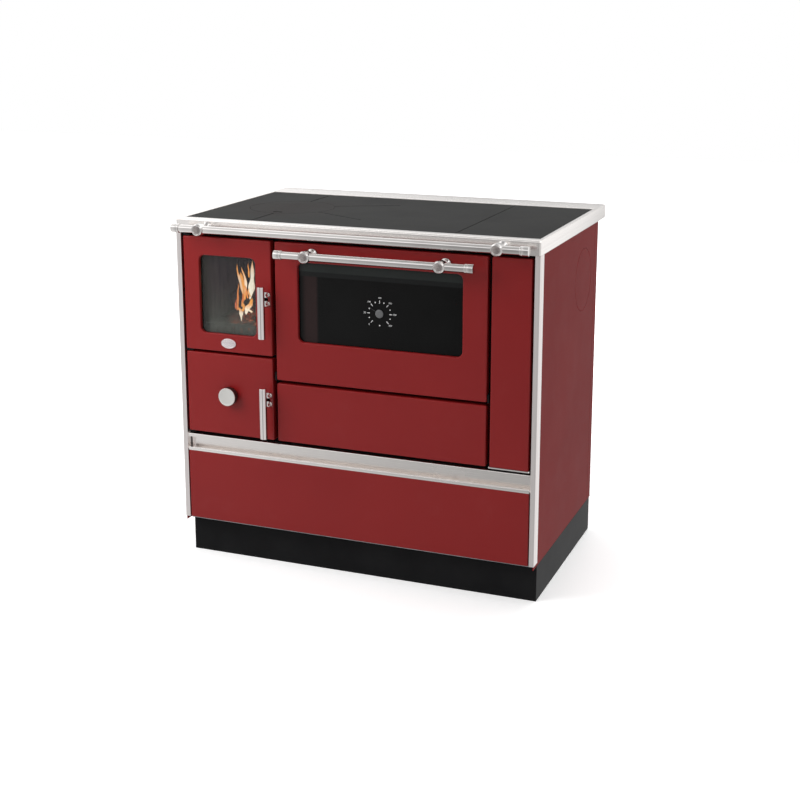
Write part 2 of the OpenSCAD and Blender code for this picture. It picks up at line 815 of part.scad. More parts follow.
// Wire shelf on the upper runners
module oven_shelf() {
  w = oven_in_w - 8;
  d = oven_box_d - 60;
  z = oven_floor_z + runner_z + 3 + 2 * runner_pitch + wire_r;
  color(steel) from_face() translate([oven_xc, face_back + 24, z]) {
    for (s = [-1, 1]) translate([s * (w / 2 - wire_r), 0, 0]) rod_y(wire_r, 0, d);
    for (y = [wire_r, d - wire_r]) translate([0, y, 0]) rod_x(wire_r, -w / 2 + wire_r, w / 2 - wire_r);
    for (i = [1 : shelf_wires])
      translate([-w / 2 + wire_r + i * (w - 2 * wire_r) / (shelf_wires + 1), 0, 0])
        rod_y(wire_r * 0.6, wire_r, d - wire_r);
  }
}

// Enamelled tray whose rim rides on the lowest runners
module baking_tray() {
  w = oven_in_w - 8;
  d = oven_box_d - 70;
  z = oven_floor_z + runner_z + 3;
  color(black) from_face() translate([oven_xc, face_back + 24, z]) {
    difference() {
      union() {
        block(-w / 2, w / 2, 0, d, 0, 1.5);
        block(-w / 2 + 12, w / 2 - 12, 12, d - 12, -tray_depth, 0);
      }
      block(-w / 2 + 13.5, w / 2 - 13.5, 13.5, d - 13.5, 1.5 - tray_depth, 3);
    }
  }
}

// Smoke duct beside and behind the oven, open under the flue plate
module smoke_duct() {
  x_side = oven_xc + oven_in_w / 2 + oven_wall + 8;
  y_rear = face_back + oven_box_d + 10;
  z0 = shelf_z + 2;
  z1 = hob_z0 - 22;
  color(iron) from_face() difference() {
    translate([0, 0, z0]) linear_extrude(z1 - z0) difference() {
      duct_plan(x_side, y_rear, 0);
      duct_plan(x_side, y_rear, 2);
    }
    translate([flue_x, duct_back_y, flue_z]) rotate([90, 0, 0])
      cylinder(r = spigot_r + 0.5, h = 20, center = true, $fn = 96);
    translate([duct_x1, side_outlet_y, flue_z]) rotate([0, 90, 0])
      cylinder(r = disc_d / 2 - 8, h = 20, center = true, $fn = 96);
  }
}

module duct_plan(x_side, y_rear, inset) {
  x_rear = flue_x - flue_d / 2 - 14;
  translate([x_side + inset, duct_front_y + inset])
    square([duct_x1 - x_side - 2 * inset, duct_back_y - duct_front_y - 2 * inset]);
  translate([x_rear + inset, y_rear + inset])
    square([duct_x1 - x_rear - 2 * inset, duct_back_y - y_rear - 2 * inset]);
}

// Collar for the flue pipe: a flange on the back cover and a spigot into the duct
module flue_collar() {
  r = flue_d / 2;
  color(iron) from_face() translate([flue_x, body_d, flue_z]) difference() {
    union() {
      rod_y(r, 0, flue_out, $fn = 96);
      rod_y(r + 14, 0, 3, $fn = 96);
      rod_y(spigot_r, -(body_d - duct_back_y) - 6, 1, $fn = 96);
    }
    rod_y(spigot_r - flue_wall, -40, flue_out + 1, $fn = 96);
    for (i = [0 : 3])
      rotate([0, 45 + i * 90, 0]) translate([r + 8, 0, 0]) rod_y(2.6, -1, 4, $fn = 24);
  }
}

// Fixed fronts
module lower_panel() {
  h = lower_z1 - row_z0;
  color(red) from_face() translate([oven_xc, 0, row_z0 + h / 2])
    folded_front(oven_door_w, h, face_y);
}

module narrow_panel() {
  w = narrow_x1 - narrow_x0;
  h = door_z1 - row_z0;
  color(red) from_face() translate([(narrow_x0 + narrow_x1) / 2, 0, row_z0 + h / 2])
    folded_front(w, h, face_y);
}

// Bright strip under the narrow panel, with a round bead at each end
module narrow_panel_strip() {
  z = row_z0 - 1.5;
  color(steel) from_face() {
    block(narrow_x0, narrow_x1, 0, face_y, z - 1.5, z + 1.5);
    for (x = [narrow_x0 - 0.6, narrow_x1 + 0.6]) translate([x, 2.5, z]) sphere(r = 2.5, $fn = 32);
  }
}

// Brackets with welded pins for the two doors on the left
module door_hinges() {
  x = fire_x0 + hinge_in;
  y0 = 3;
  top_z = door_z1 + 1;
  mid_z = fire_z0 - soft_gap - bracket_t;
  low_z = row_z0 - soft_gap - bracket_t;
  pin = sleeve_l + 2;
  color(iron) from_face() {
    for (z = [top_z, mid_z, low_z])
      block(x - hinge_in - 1, x + hinge_in + 1, y0, face_y, z, z + bracket_t);
    translate([x, hinge_y, top_z - pin]) cylinder(r = hinge_pin_r, h = pin);
    translate([x, hinge_y, mid_z - pin]) cylinder(r = hinge_pin_r, h = bracket_t + 2 * pin);
    translate([x, hinge_y, low_z]) cylinder(r = hinge_pin_r, h = bracket_t + pin);
  }
}

// Brackets with welded pins for the oven door
module oven_hinges() {
  z = oven_z0 + oven_hinge_z;
  color(iron) from_face() for (s = [-1, 1]) {
    edge = s > 0 ? oven_x1 : oven_x0;
    x0 = s > 0 ? edge + sheet : edge - sheet - bracket_t;
    pin0 = s > 0 ? edge - sleeve_l : x0;
    block(x0, x0 + bracket_t, 3, face_y, z - 10, z + 10);
    translate([0, oven_hinge_y, z]) rod_x(hinge_pin_r, pin0, pin0 + sheet + bracket_t + sleeve_l);
  }
}

// Angle plates behind the face frame that the latch noses close against
module latch_strikes() {
  x1 = strike_x - 0.5;
  color(steel) from_face() for (z = [fire_open_zc, ash_zc]) {
    block(x1 - 2.5, x1, face_back, face_back + 14, z - 12, z + 12);
    block(x1 - 8, x1, face_back, face_back + 2.5, z - 12, z + 12);
  }
}

// Fixed channels of the drawer slides
module drawer_channels() {
  x1 = post_in_x - 4;
  z0 = base_z + 60;
  y1 = face_back + drawer_d;
  color(steel) from_face() for (s = [-1, 1]) mirror([s > 0 ? 0 : 1, 0, 0]) {
    block(x1 - 1.5, x1, face_back, y1, z0, z0 + slide_h);
    block(x1 - slide_w + 1, x1, face_back, y1, z0, z0 + 2);
    block(x1 - slide_w + 1, x1, face_back, y1, z0 + slide_h - 2, z0 + slide_h);
    block(x1, panel_in_x, y1 - 20, y1, z0, z0 + slide_h);
    block(x1, panel_in_x, face_back, face_back + 20, z0, z0 + slide_h);
  }
}

// Skin of a door on the left: folded sheet with holes for the hinge pins and the latch arm
module left_door_skin(h) {
  difference() {
    folded_front(fire_door_w, h, door_depth);
    translate([-fire_door_w / 2 + hinge_in, hinge_y, -h / 2 - 1])
      cylinder(r = hinge_pin_r + run_clear, h = h + 2);
    translate([fire_door_w / 2 - latch_pin_x, 0, 0]) {
      block(-9, 2, -1, sheet + 1, -4, 4);
      for (s = [-1, 1]) translate([-1, 0, s * latch_screw_z]) rod_y(2.8, -1, sheet + 1);
    }
  }
}

// Frame behind the skin, with sleeves for the hinge pins and ears for the latch pin
module left_door_frame(h) {
  w = fire_door_w - 2 * sheet;
  hx = -fire_door_w / 2 + hinge_in;
  lx = fire_door_w / 2 - latch_pin_x;
  y0 = frame_plate_y;
  difference() {
    union() {
      translate([0, y0, 0]) face_plate(w, h - 2 * sheet, door_depth - 1 - y0, front_r);
      for (s = [-1, 1])
        translate([hx, 0, s > 0 ? h / 2 - sleeve_in - sleeve_l : -h / 2 + sleeve_in]) {
          translate([0, hinge_y, 0]) cylinder(r = hinge_in - sheet - soft_gap, h = sleeve_l);
          block(-4, 4, hinge_y, y0 + 1, 0, sleeve_l);
        }
      for (s = [-1, 1])
        block(lx - 5, lx + 5, 3, y0 + 1, s > 0 ? 9 : -14, s > 0 ? 14 : -9);
    }
    translate([hx, hinge_y, -h / 2 - 1]) cylinder(r = hinge_pin_r + run_clear, h = h + 2);
    translate([lx, latch_pin_y, -15]) cylinder(r = latch_pin_r, h = 30);
    block(lx - 6, lx + 11, y0 - 1, door_depth + 5, -8.5, 8.5);
  }
}

// Seal round an opening of the given size
module left_door_seal(w, h, rope_r = gasket_r) {
  translate([0, gasket_y, 0]) rope_ring(w + 10, h + 10, 16, rope_r);
}

module fire_door_skin() {
  color(red) from_face() at_fire_door() {
    difference() {
      left_door_skin(fire_door_h);
      translate([0, -1, 0]) face_plate(fire_window_w, fire_window_h, 5, window_r);
    }
    difference() {
      face_plate(fire_window_w + 2 * sheet, fire_window_h + 2 * sheet, window_fold, window_r + sheet);
      translate([0, -1, 0]) face_plate(fire_window_w, fire_window_h, window_fold + 2, window_r);
    }
  }
}

module fire_door_glass() {
  w = fire_window_w + 2 * glass_lap;
  h = fire_window_h + 2 * glass_lap;
  color([0.25, 0.25, 0.27, 0.5]) from_face() at_fire_door()
    translate([0, window_fold + soft_gap, 0]) face_plate(w, h, glass_t, 4);
}

module fire_door_frame() {
  color(black) from_face() at_fire_door() difference() {
    left_door_frame(fire_door_h);
    face_plate(fire_window_w + 6, fire_window_h + 6, 40, window_r);
    left_door_seal(fire_open_w, fire_open_h, gasket_r + soft_gap);
  }
}

module fire_door_gasket() {
  color([0.75, 0.73, 0.68]) from_face() at_fire_door() left_door_seal(fire_open_w, fire_open_h);
}

// Blank oval badge
module door_badge() {
  z = (fire_z0 + door_z1) / 2 - fire_door_h / 2;
  zc = (fire_door_h - fire_window_h) / 4;
  color(steel) from_face() translate([fire_xc, 0, z + zc]) rotate([90, 0, 0])
    linear_extrude(2.5) resize([badge_w, badge_h]) circle(10, $fn = 64);
}

// Latch lever: bar, arm with its hub, and the tail whose nose closes on the strike
module latch_lever() {
  bar_y = -bar_out + bar_t / 2;
  tail_y = face_back + nose_r + 4;
  translate([fire_door_w / 2 - latch_pin_x, 0, 0]) difference() {
    union() {
      translate([0, 0, -arm_t / 2]) linear_extrude(arm_t) {
        translate([0, latch_pin_y]) circle(5);
        polygon([[-3, latch_pin_y], [3, latch_pin_y], [3 - bar_step, bar_y], [-3 - bar_step, bar_y]]);
        translate([-2, latch_pin_y]) square([4, tail_y - latch_pin_y]);
        translate([-0.7, tail_y]) circle(nose_r);
      }
      translate([-bar_step, bar_y, bar_above - bar_h])
        linear_extrude(bar_h) rounded_rect(bar_w, bar_t, 2);
    }
    translate([0, latch_pin_y, -10]) cylinder(r = latch_pin_r + run_clear, h = 20);
  }
}

// Plate with a notch for the lever's arm, its two cap screws, and the latch pin behind it
module latch_mount() {
  translate([fire_door_w / 2 - latch_pin_x, 0, 0]) {
    difference() {
      block(-8.5, 6.5, -3, 0, -17, 17);
      block(-9, 2, -4, 1, -4, 4);
    }
    for (s = [-1, 1]) translate([-1, 0, s * latch_screw_z]) {
      rod_y(5.5, -6, -3);
      rod_y(2.5, -3, sheet);
    }
    translate([0, latch_pin_y, -14]) cylinder(r = latch_pin_r, h = 28);
  }
}

module fire_latch_lever() {
  color(steel) from_face() at_fire_door() latch_lever();
}

module fire_latch_mount() {
  color(steel) from_face() at_fire_door() latch_mount();
}

module ash_latch_lever() {
  color(steel) from_face() at_ash_door() latch_lever();
}

module ash_latch_mount() {
  color(steel) from_face() at_ash_door() latch_mount();
}

// Ring of holes that the door frame and the air knob's disc share
module air_ring(r, depth) {
  for (i = [0 : air_holes - 1])
    rotate([0, i * 360 / air_holes, 0]) translate([0, 0, air_disc_d / 2 - air_hole_d / 2 - 6])
      rod_y(r, 0, depth);
}

module ash_door_skin() {
  color(red) from_face() at_ash_door() difference() {
    left_door_skin(ash_door_h);
    rod_y(5.3, -1, sheet + 1);
    for (i = [-1 : 1])
      block(i * 50 - 18, i * 50 + 18, 6, 11, -ash_door_h / 2 - 1, -ash_door_h / 2 + sheet + 1);
  }
}

module ash_door_frame() {
  color(black) from_face() at_ash_door() difference() {
    left_door_frame(ash_door_h);
    rod_y(5 + run_clear, 0, door_depth + 5);
    translate([0, frame_plate_y - 1, 0]) air_ring(air_hole_d / 2, 12);
    left_door_seal(ash_open_w, ash_open_h, gasket_r + soft_gap);
  }
}

module ash_door_gasket() {
  color([0.75, 0.73, 0.68]) from_face() at_ash_door() left_door_seal(ash_open_w, ash_open_h);
}

// Air knob, its spindle and the perforated disc behind the door
module air_knob() {
  y0 = door_depth - 1 + soft_gap;
  color(steel) from_face() at_ash_door() {
    rotate([90, 0, 0]) rotate_extrude($fn = 96)
      polygon([[0, 0.5], [knob_d / 2 - 3, 0.5], [knob_d / 2, 3], [knob_d / 2, knob_out - 2],
        [knob_d / 2 - 2, knob_out], [0, knob_out]]);
    rod_y(5, -1, y0 + 2);
    difference() {
      translate([0, y0, 0]) rod_y(air_disc_d / 2, 0, 2, $fn = 96);
      translate([0, y0 - 1, 0]) air_ring(air_hole_d / 2, 4);
    }
  }
}

// Oven door
module oven_door_skin() {
  color(red) from_face() {
    translate([oven_xc, 0, oven_z0 + oven_door_h / 2]) difference() {
      folded_front(oven_door_w, oven_door_h, door_depth);
      translate([0, -1, oven_window_z + oven_window_h / 2 - oven_door_h / 2])
        face_plate(oven_window_w, oven_window_h, 5, window_r);
      translate([0, oven_hinge_y, -oven_door_h / 2 + oven_hinge_z])
        rod_x(hinge_pin_r + run_clear, -oven_door_w, oven_door_w);
    }
    at_oven_window() difference() {
      face_plate(oven_window_w + 2 * sheet, oven_window_h + 2 * sheet, window_fold, window_r + sheet);
      translate([0, -1, 0]) face_plate(oven_window_w, oven_window_h, window_fold + 2, window_r);
    }
  }
}

module oven_door_glass() {
  w = oven_window_w + 2 * glass_lap;
  h = oven_window_h + 2 * glass_lap;
  color([0.06, 0.06, 0.07]) from_face() difference() {
    at_oven_window() translate([0, window_fold + soft_gap, 0]) face_plate(w, h, glass_t, 4);
    translate([oven_xc, 0, dial_zc]) rod_y(dial_neck_r + soft_gap, 0, door_depth);
  }
}

// Frame behind the oven door's skin, with sleeves for the hinge pins
module oven_door_frame() {
  w = oven_door_w - 2 * sheet;
  h = oven_door_h - 2 * sheet;
  y0 = frame_plate_y;
  z = oven_z0 + oven_hinge_z;
  color(black) from_face() difference() {
    union() {
      translate([oven_xc, y0, oven_z0 + oven_door_h / 2])
        face_plate(w, h, door_depth - 1 - y0, front_r);
      for (s = [-1, 1])
        translate([s > 0 ? oven_x1 - sleeve_in - sleeve_l : oven_x0 + sleeve_in, oven_hinge_y, z])
          rod_x(oven_hinge_z - sheet - soft_gap, 0, sleeve_l);
    }
    translate([0, oven_hinge_y, z]) rod_x(hinge_pin_r + run_clear, oven_x0 - 1, oven_x1 + 1);
    at_oven_window() face_plate(oven_window_w - 20, oven_window_h - 20, 40, window_r);
    translate([oven_xc, gasket_y, oven_zc])
      rope_ring(oven_in_w + 12, oven_in_h + 12, 18, gasket_r + soft_gap);
  }
}

module oven_door_gasket() {
  color([0.75, 0.73, 0.68]) from_face() translate([oven_xc, gasket_y, oven_zc])
    rope_ring(oven_in_w + 12, oven_in_h + 12, 18, gasket_r);
}

// Tube, two supports and two caps of the oven handle
module oven_handle() {
  color(steel) from_face() translate([oven_xc, 0, door_z1 - handle_drop]) {
    translate([0, -tube_out, 0]) hand_tube(handle_half);
    for (s = [-1, 1]) {
      translate([s * handle_support_x, 0, 0]) tube_support(0);
      translate([s * (handle_half - cap_len), -tube_out, 0]) tube_cap(s);
    }
  }
}

module at_dial() {
  translate([oven_xc, 0, dial_zc]) children();
}

// Thermometer case behind the glass; its neck passes through the glass
module thermometer_body() {
  back = window_fold + glass_t + 2 * soft_gap;
  color(steel) from_face() at_dial() difference() {
    union() {
      rod_y(dial_neck_r, window_fold - 0.5, back);
      rod_y(22, back, back + 9);
    }
    rod_y(2 + run_clear, 0, back + 6);
  }
}

// Hub and pointer in front of the glass, on a spindle that runs in the case
module thermometer_pointer() {
  y1 = window_fold - 0.8;
  color(steel) from_face() at_dial() {
    rod_y(dial_hub_d / 2, y1 - 3, y1);
    rod_y(2, y1 - 1, y1 + 10);
    rotate([0, -60, 0]) block(-1.2, 1.2, y1 - 1.5, y1 - 0.5, -10, pointer_len);
  }
}

// Drawer: red front, grip profile, and the box with its moving slides
module drawer_front() {
  color(red) from_face() translate([0, 0, drawer_z0 + drawer_front_h / 2])
    folded_front(drawer_w, drawer_front_h, grip_depth + grip_wall);
}

// Channel with a lip above the grip and a rounded lip below it
module drawer_grip() {
  t = grip_wall;
  back = -grip_depth - t;
  color(steel) from_face() translate([drawer_w / 2, 0, grip_z0])
    rotate([90, 0, -90]) linear_extrude(drawer_w) {
      translate([back, 0]) square([t, grip_h]);
      translate([back, grip_h - t]) square([-back, t]);
      translate([-t, grip_h - grip_lip]) square([t, grip_lip]);
      translate([back, 0]) square([-back, t]);
      translate([-3.5, 0]) square([3.5, grip_lip - 1.75]);
      translate([-1.75, grip_lip - 1.75]) circle(1.75);
    }
}

module drawer_box() {
  slide_x = post_in_x - 4 - slide_w;
  z0 = base_z + 14;
  zs = base_z + 60;
  y0 = grip_depth + grip_wall;
  color(steel) from_face() {
    difference() {
      block(-slide_x, slide_x, y0, y0 + drawer_d, z0, z0 + drawer_h);
      block(-slide_x + 1.5, slide_x - 1.5, y0 + 1.5, y0 + drawer_d - 1.5, z0 + 1.5, z0 + drawer_h + 1);
    }
    for (s = [-1, 1]) mirror([s > 0 ? 0 : 1, 0, 0])
      block(slide_x - 0.5, slide_x + slide_w - 1.8, face_back + 3, y0 + drawer_d,
        zs + 2.3, zs + slide_h - 2.3);
  }
}

plinth();
base_pan();
side_panel_left();
side_panel_right();
side_outlet_disc();
back_cover();
corner_post_left();
corner_post_right();
face_frame();
middle_shelf();
top_frame();
hob_crossbar();
hob_plate();
flue_plate();
hob_lid();
rail_tube();
rail_supports();
rail_caps();
firebox_casing();
firebricks();
grate();
fire_fence();
ash_box();
ash_pan();
oven_box();
oven_shelf();
baking_tray();
smoke_duct();
flue_collar();
lower_panel();
narrow_panel();
narrow_panel_strip();
door_hinges();
oven_hinges();
latch_strikes();
drawer_channels();
fire_door_skin();
fire_door_glass();
fire_door_frame();
fire_door_gasket();
door_badge();
fire_latch_lever();
fire_latch_mount();
ash_door_skin();
ash_door_frame();
ash_door_gasket();
ash_latch_lever();
ash_latch_mount();
air_knob();
oven_door_skin();
oven_door_glass();
oven_door_frame();
oven_door_gasket();
oven_handle();
thermometer_body();
thermometer_pointer();
drawer_front();
drawer_grip();
drawer_box();
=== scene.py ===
import json
import math
import bmesh
import bpy
import numpy as np
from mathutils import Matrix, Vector


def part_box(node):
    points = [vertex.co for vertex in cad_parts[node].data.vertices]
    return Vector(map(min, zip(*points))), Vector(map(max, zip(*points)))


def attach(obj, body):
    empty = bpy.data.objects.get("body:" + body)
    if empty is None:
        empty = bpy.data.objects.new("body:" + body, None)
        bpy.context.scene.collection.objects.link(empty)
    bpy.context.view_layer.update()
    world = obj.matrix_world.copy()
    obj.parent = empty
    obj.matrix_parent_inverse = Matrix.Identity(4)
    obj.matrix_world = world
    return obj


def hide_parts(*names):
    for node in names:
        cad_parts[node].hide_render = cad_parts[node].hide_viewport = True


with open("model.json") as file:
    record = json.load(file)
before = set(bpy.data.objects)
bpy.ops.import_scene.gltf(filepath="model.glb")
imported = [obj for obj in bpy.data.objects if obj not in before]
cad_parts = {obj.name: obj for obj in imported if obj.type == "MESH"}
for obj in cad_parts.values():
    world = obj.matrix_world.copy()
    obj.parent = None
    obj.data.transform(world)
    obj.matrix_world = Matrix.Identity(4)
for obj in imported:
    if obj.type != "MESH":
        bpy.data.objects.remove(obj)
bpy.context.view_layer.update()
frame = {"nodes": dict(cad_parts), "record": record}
nodes = frame["nodes"]
record = frame["record"]
slotOf = {row["node"]: row["material_slot"] for row in record["subparts"]}
groups = record["behaviour"]["bodies"]
bodyOf = {name: body for body, names in groups.items() for name in names}
scene = bpy.context.scene
scene.view_settings.view_transform = "Standard"
print("frame loaded:", len(nodes), "nodes")


# camera, lights and floor

view = {"target": (0.0061, 0.027, 0.5745), "azimuth": 21.45, "elevation": 12.96,
        "distance": 3.498, "lens": 62.9, "shiftY": -0.1}


def makeCamera(s):
    az, el = math.radians(s["azimuth"]), math.radians(s["elevation"])
    away = Vector((math.sin(az) * math.cos(el), -math.cos(az) * math.cos(el), math.sin(el)))
    data = bpy.data.cameras.new("camera")
    data.sensor_width, data.sensor_fit = 36.0, "HORIZONTAL"
    data.lens, data.shift_y = s["lens"], s["shiftY"]
    camera = bpy.data.objects.new("camera", data)
    camera.location = Vector(s["target"]) + away * s["distance"]
    camera.rotation_euler = (-away).to_track_quat("-Z", "Y").to_euler()
    scene.collection.objects.link(camera)
    scene.camera = camera


lamps = {
    "keySoftbox": {"at": (-1.55, -1.5, 1.7), "aim": (-0.1, 0, 0.5), "size": 1.6, "power": 46},
    "rightSoftbox": {"at": (3.6, -1.2, 2.0), "aim": (0, 0, 0.5), "size": 2.0, "power": 7},
    "topSoftbox": {"at": (0.2, 0.6, 3.6), "aim": (0, 0, 0.8), "size": 2.8, "power": 60},
    "rearSoftbox": {"at": (0.5, 3.6, 2.2), "aim": (0, 0, 0.5), "size": 2.4, "power": 60},
}


def makeLamp(name, s):
    data = bpy.data.lights.new(name, "AREA")
    data.shape, data.size, data.energy = "DISK", s["size"], s["power"]
    lamp = bpy.data.objects.new(name, data)
    lamp.location = s["at"]
    lamp.visible_glossy = False    # metal mirrors the room of makeWorld instead
    lamp.rotation_euler = (Vector(s["aim"]) - Vector(s["at"])).to_track_quat("-Z", "Y").to_euler()
    scene.collection.objects.link(lamp)


makeCamera(view)
for lampName, lampSettings in lamps.items():
    makeLamp(lampName, lampSettings)
print("camera and lamps ready")


# shader helpers

class Wire:
    # wraps a socket, so that arithmetic on it adds Math nodes
    def __init__(self, finish, socket):
        self.finish = finish
        self.socket = socket

    def __add__(self, other):
        return self.finish.math("ADD", self, other)

    def __radd__(self, other):
        return self.finish.math("ADD", other, self)

    def __sub__(self, other):
        return self.finish.math("SUBTRACT", self, other)

    def __rsub__(self, other):
        return self.finish.math("SUBTRACT", other, self)

    def __mul__(self, other):
        return self.finish.math("MULTIPLY", self, other)

    def __rmul__(self, other):
        return self.finish.math("MULTIPLY", other, self)

    def __truediv__(self, other):
        return self.finish.math("DIVIDE", self, other)

    def __abs__(self):
        return self.finish.math("ABSOLUTE", self)


class Finish:
    # a material under construction: constants sit on the shader, the rest comes from nodes
    def __init__(self, name, **constants):
        self.material = bpy.data.materials.new(name)
        self.material.use_nodes = True
        self.tree = self.material.node_tree
        self.shader = self.tree.nodes["Principled BSDF"]
        for key, value in constants.items():
            socket = self.shader.inputs[key.replace("_", " ")]
            socket.default_value = value
        self.place = self.node("TexCoord", out="Object")

    def feed(self, target, key, value):
        if isinstance(value, Wire):
            self.tree.links.new(value.socket, target.inputs[key])
        else:
            target.inputs[key].default_value = value

    def node(self, kind, settings=None, inputs=None, out=0):
        made = self.tree.nodes.new("ShaderNode" + kind)
        for key, value in (settings or {}).items():
            if key == "stops":
                ramp = made.color_ramp
                while len(ramp.elements) < len(value):
                    ramp.elements.new(0.5)
                for element, (at, colour) in zip(ramp.elements, value):
                    element.position, element.color = at, colour
            else:
                setattr(made, key, value)
        for key, value in (inputs or {}).items():
            self.feed(made, key, value)
        return Wire(self, made.outputs[out])

    def math(self, operation, a, b=0.0, clamp=False):
        return self.node("Math", {"operation": operation, "use_clamp": clamp}, {0: a, 1: b})

    def clip(self, value):
        return self.math("ADD", value, 0.0, clamp=True)

    def mix(self, factor, a, b):
        return self.node("Mix", {"data_type": "RGBA"}, {0: factor, 6: a, 7: b}, out=2)

    def noise(self, scale, detail=3.0, rough=0.5, stretch=None, at=None):
        # stretch gives a scale for each axis, and at gives another place than the object's own
        where = self.place if at is None else at
        if stretch:
            where = self.node("Mapping", None, {"Vector": where, "Scale": stretch})
        return self.node("TexNoise", None, {"Vector": where, "Scale": scale, "Detail": detail,
                                            "Roughness": rough})

    def cells(self, scale, out="Distance", feature="F1"):
        return self.node("TexVoronoi", {"feature": feature},
                         {"Vector": self.place, "Scale": scale}, out=out)

    def axes(self):
        parts = self.tree.nodes.new("ShaderNodeSeparateXYZ")
        self.feed(parts, 0, self.place)
        return [Wire(self, parts.outputs[i]) for i in range(3)]

    def step(self, value, low, high):
        # 0 below low, 1 above high, smooth between them
        return self.node("MapRange", {"interpolation_type": "SMOOTHSTEP"},
                         {0: value, 1: low, 2: high})

    def fade(self, value, low, high, a, b, share=None):
        # colour a where the value is below low, b (or a share of it) where it is above high
        mask = self.step(value, low, high)
        return self.mix(mask * share if share else mask, a, b)

    def radius(self, a, b):
        return self.math("SQRT", a * a + b * b)

    def colour(self, value):
        self.feed(self.shader, "Base Color", value)

    def emit(self, value):
        self.feed(self.shader, "Emission Color", value)

    def rough(self, value):
        self.feed(self.shader, "Roughness", value)

    def relief(self, height, depth, strength=1.0):
        bump = self.node("Bump", None, {"Strength": strength, "Distance": depth,
                                        "Height": height}, out="Normal")
        self.feed(self.shader, "Normal", bump)


def rgb(r, g, b):
    # sRGB 0 to 255 to linear
    def linear(v):
        v = v / 255
        return v / 12.92 if v <= 0.04045 else ((v + 0.055) / 1.055) ** 2.4
    return (linear(r), linear(g), linear(b), 1.0)


# what metal sees: dark in front, lighter behind, on the left and overhead. Each ramp adds to
# the grey along one axis: (axis, (from, to, value before, value after))
room = {"ambient": 0.47, "metalRamps": (
    (1, (-0.9, 0.6, 0.33, 0.62)), (0, (-0.28, -0.54, 0.0, 0.47)),
    (0, (-0.70, -0.92, 0.0, -0.32)), (0, (0.05, 0.35, 0.0, 0.38)), (0, (0.5, 0.85, 0.0, -0.22)),
    (2, (0.33, 0.54, 0.0, 0.95)), (2, (0.60, 0.80, 0.0, -0.88)), (2, (-0.28, -0.6, 0.0, 0.05)))}


def makeWorld(s):
    world = bpy.data.worlds.new("studio")
    scene.world = world
    world.use_nodes = True
    tree = world.node_tree
    tree.nodes.clear()
    link = tree.links.new

    def add(kind, **settings):
        made = tree.nodes.new("ShaderNode" + kind)
        for key, value in settings.items():
            setattr(made, key, value)
        return made

    where, rays = add("TexCoord"), add("LightPath")
    split = add("SeparateXYZ")
    link(where.outputs["Generated"], split.inputs[0])
    total = None
    for axis, span in s["metalRamps"]:
        ramp = add("MapRange", interpolation_type="SMOOTHSTEP")
        link(split.outputs[axis], ramp.inputs[0])
        for i, v in enumerate(span):
            ramp.inputs[i + 1].default_value = v
        if total is None:
            total = ramp
            continue
        joined = add("Math", operation="ADD")
        link(total.outputs[0], joined.inputs[0])
        link(ramp.outputs[0], joined.inputs[1])
        total = joined
    metalView = add("Background")
    grey = add("CombineXYZ")
    for i in range(3):
        link(total.outputs[0], grey.inputs[i])
    link(grey.outputs[0], metalView.inputs[0])
    ambient = add("Background")
    ambient.inputs[0].default_value = (s["ambient"], s["ambient"], s["ambient"], 1)
    white = add("Background")
    white.inputs[0].default_value = (1, 1, 1, 1)
    glossy, seen, out = add("MixShader"), add("MixShader"), add("OutputWorld")
    link(rays.outputs["Is Glossy Ray"], glossy.inputs[0])
    link(ambient.outputs[0], glossy.inputs[1])
    link(metalView.outputs[0], glossy.inputs[2])
    link(rays.outputs["Is Camera Ray"], seen.inputs[0])
    link(glossy.outputs[0], seen.inputs[1])
    link(white.outputs[0], seen.inputs[2])
    link(seen.outputs[0], out.inputs[0])


floorLook = {"half": 9, "dark": 0.84, "light": 0.86, "glowFrom": 0.5, "glowTo": 2.2,
             "glowNear": 0.34}


def makeFloor(s):
    # pale floor that turns white with the distance, for the camera alone
    f = Finish("paleFloor", Roughness=0.9, Specular_IOR_Level=0.1)
    f.colour(f.mix(f.noise(3.0), (*[s["dark"]] * 3, 1), (*[s["light"]] * 3, 1)))
    rays = f.tree.nodes.new("ShaderNodeLightPath")
    x, y, _ = f.axes()
    away = f.radius(x, y)
    far = f.node("MapRange", {"interpolation_type": "SMOOTHSTEP"},
                 {0: away, 1: s["glowFrom"], 2: s["glowTo"], 3: s["glowNear"], 4: 1.0})
    glow = f.node("Emission", None, {"Color": (1, 1, 1, 1), "Strength": far})
    clear = f.node("Emission", None, {"Color": (0, 0, 0, 1), "Strength": 0.0})
    extra = f.node("MixShader", None, {0: Wire(f, rays.outputs["Is Camera Ray"]), 1: clear,
                                       2: glow})
    both = f.node("AddShader", None, {0: Wire(f, f.shader.outputs[0]), 1: extra})
    output = f.tree.nodes["Material Output"]
    f.tree.links.new(both.socket, output.inputs[0])
    mesh = bpy.data.meshes.new("floor")
    h = s["half"]
    mesh.from_pydata([(-h, -h, 0), (h, -h, 0), (h, h, 0), (-h, h, 0)], [], [(0, 1, 2, 3)])
    floor = bpy.data.objects.new("floor", mesh)
    mesh.materials.append(f.material)
    scene.collection.objects.link(floor)
    floor.visible_glossy = False


makeWorld(room)
makeFloor(floorLook)
print("studio ready")


# finishes

enamel = {"deep": rgb(120, 19, 20), "bright": rgb(125, 22, 22), "speck": rgb(88, 12, 14),
          "smudge": rgb(150, 84, 80), "rough": 0.36, "frontGloss": 0.30, "sideGloss": 0.02}


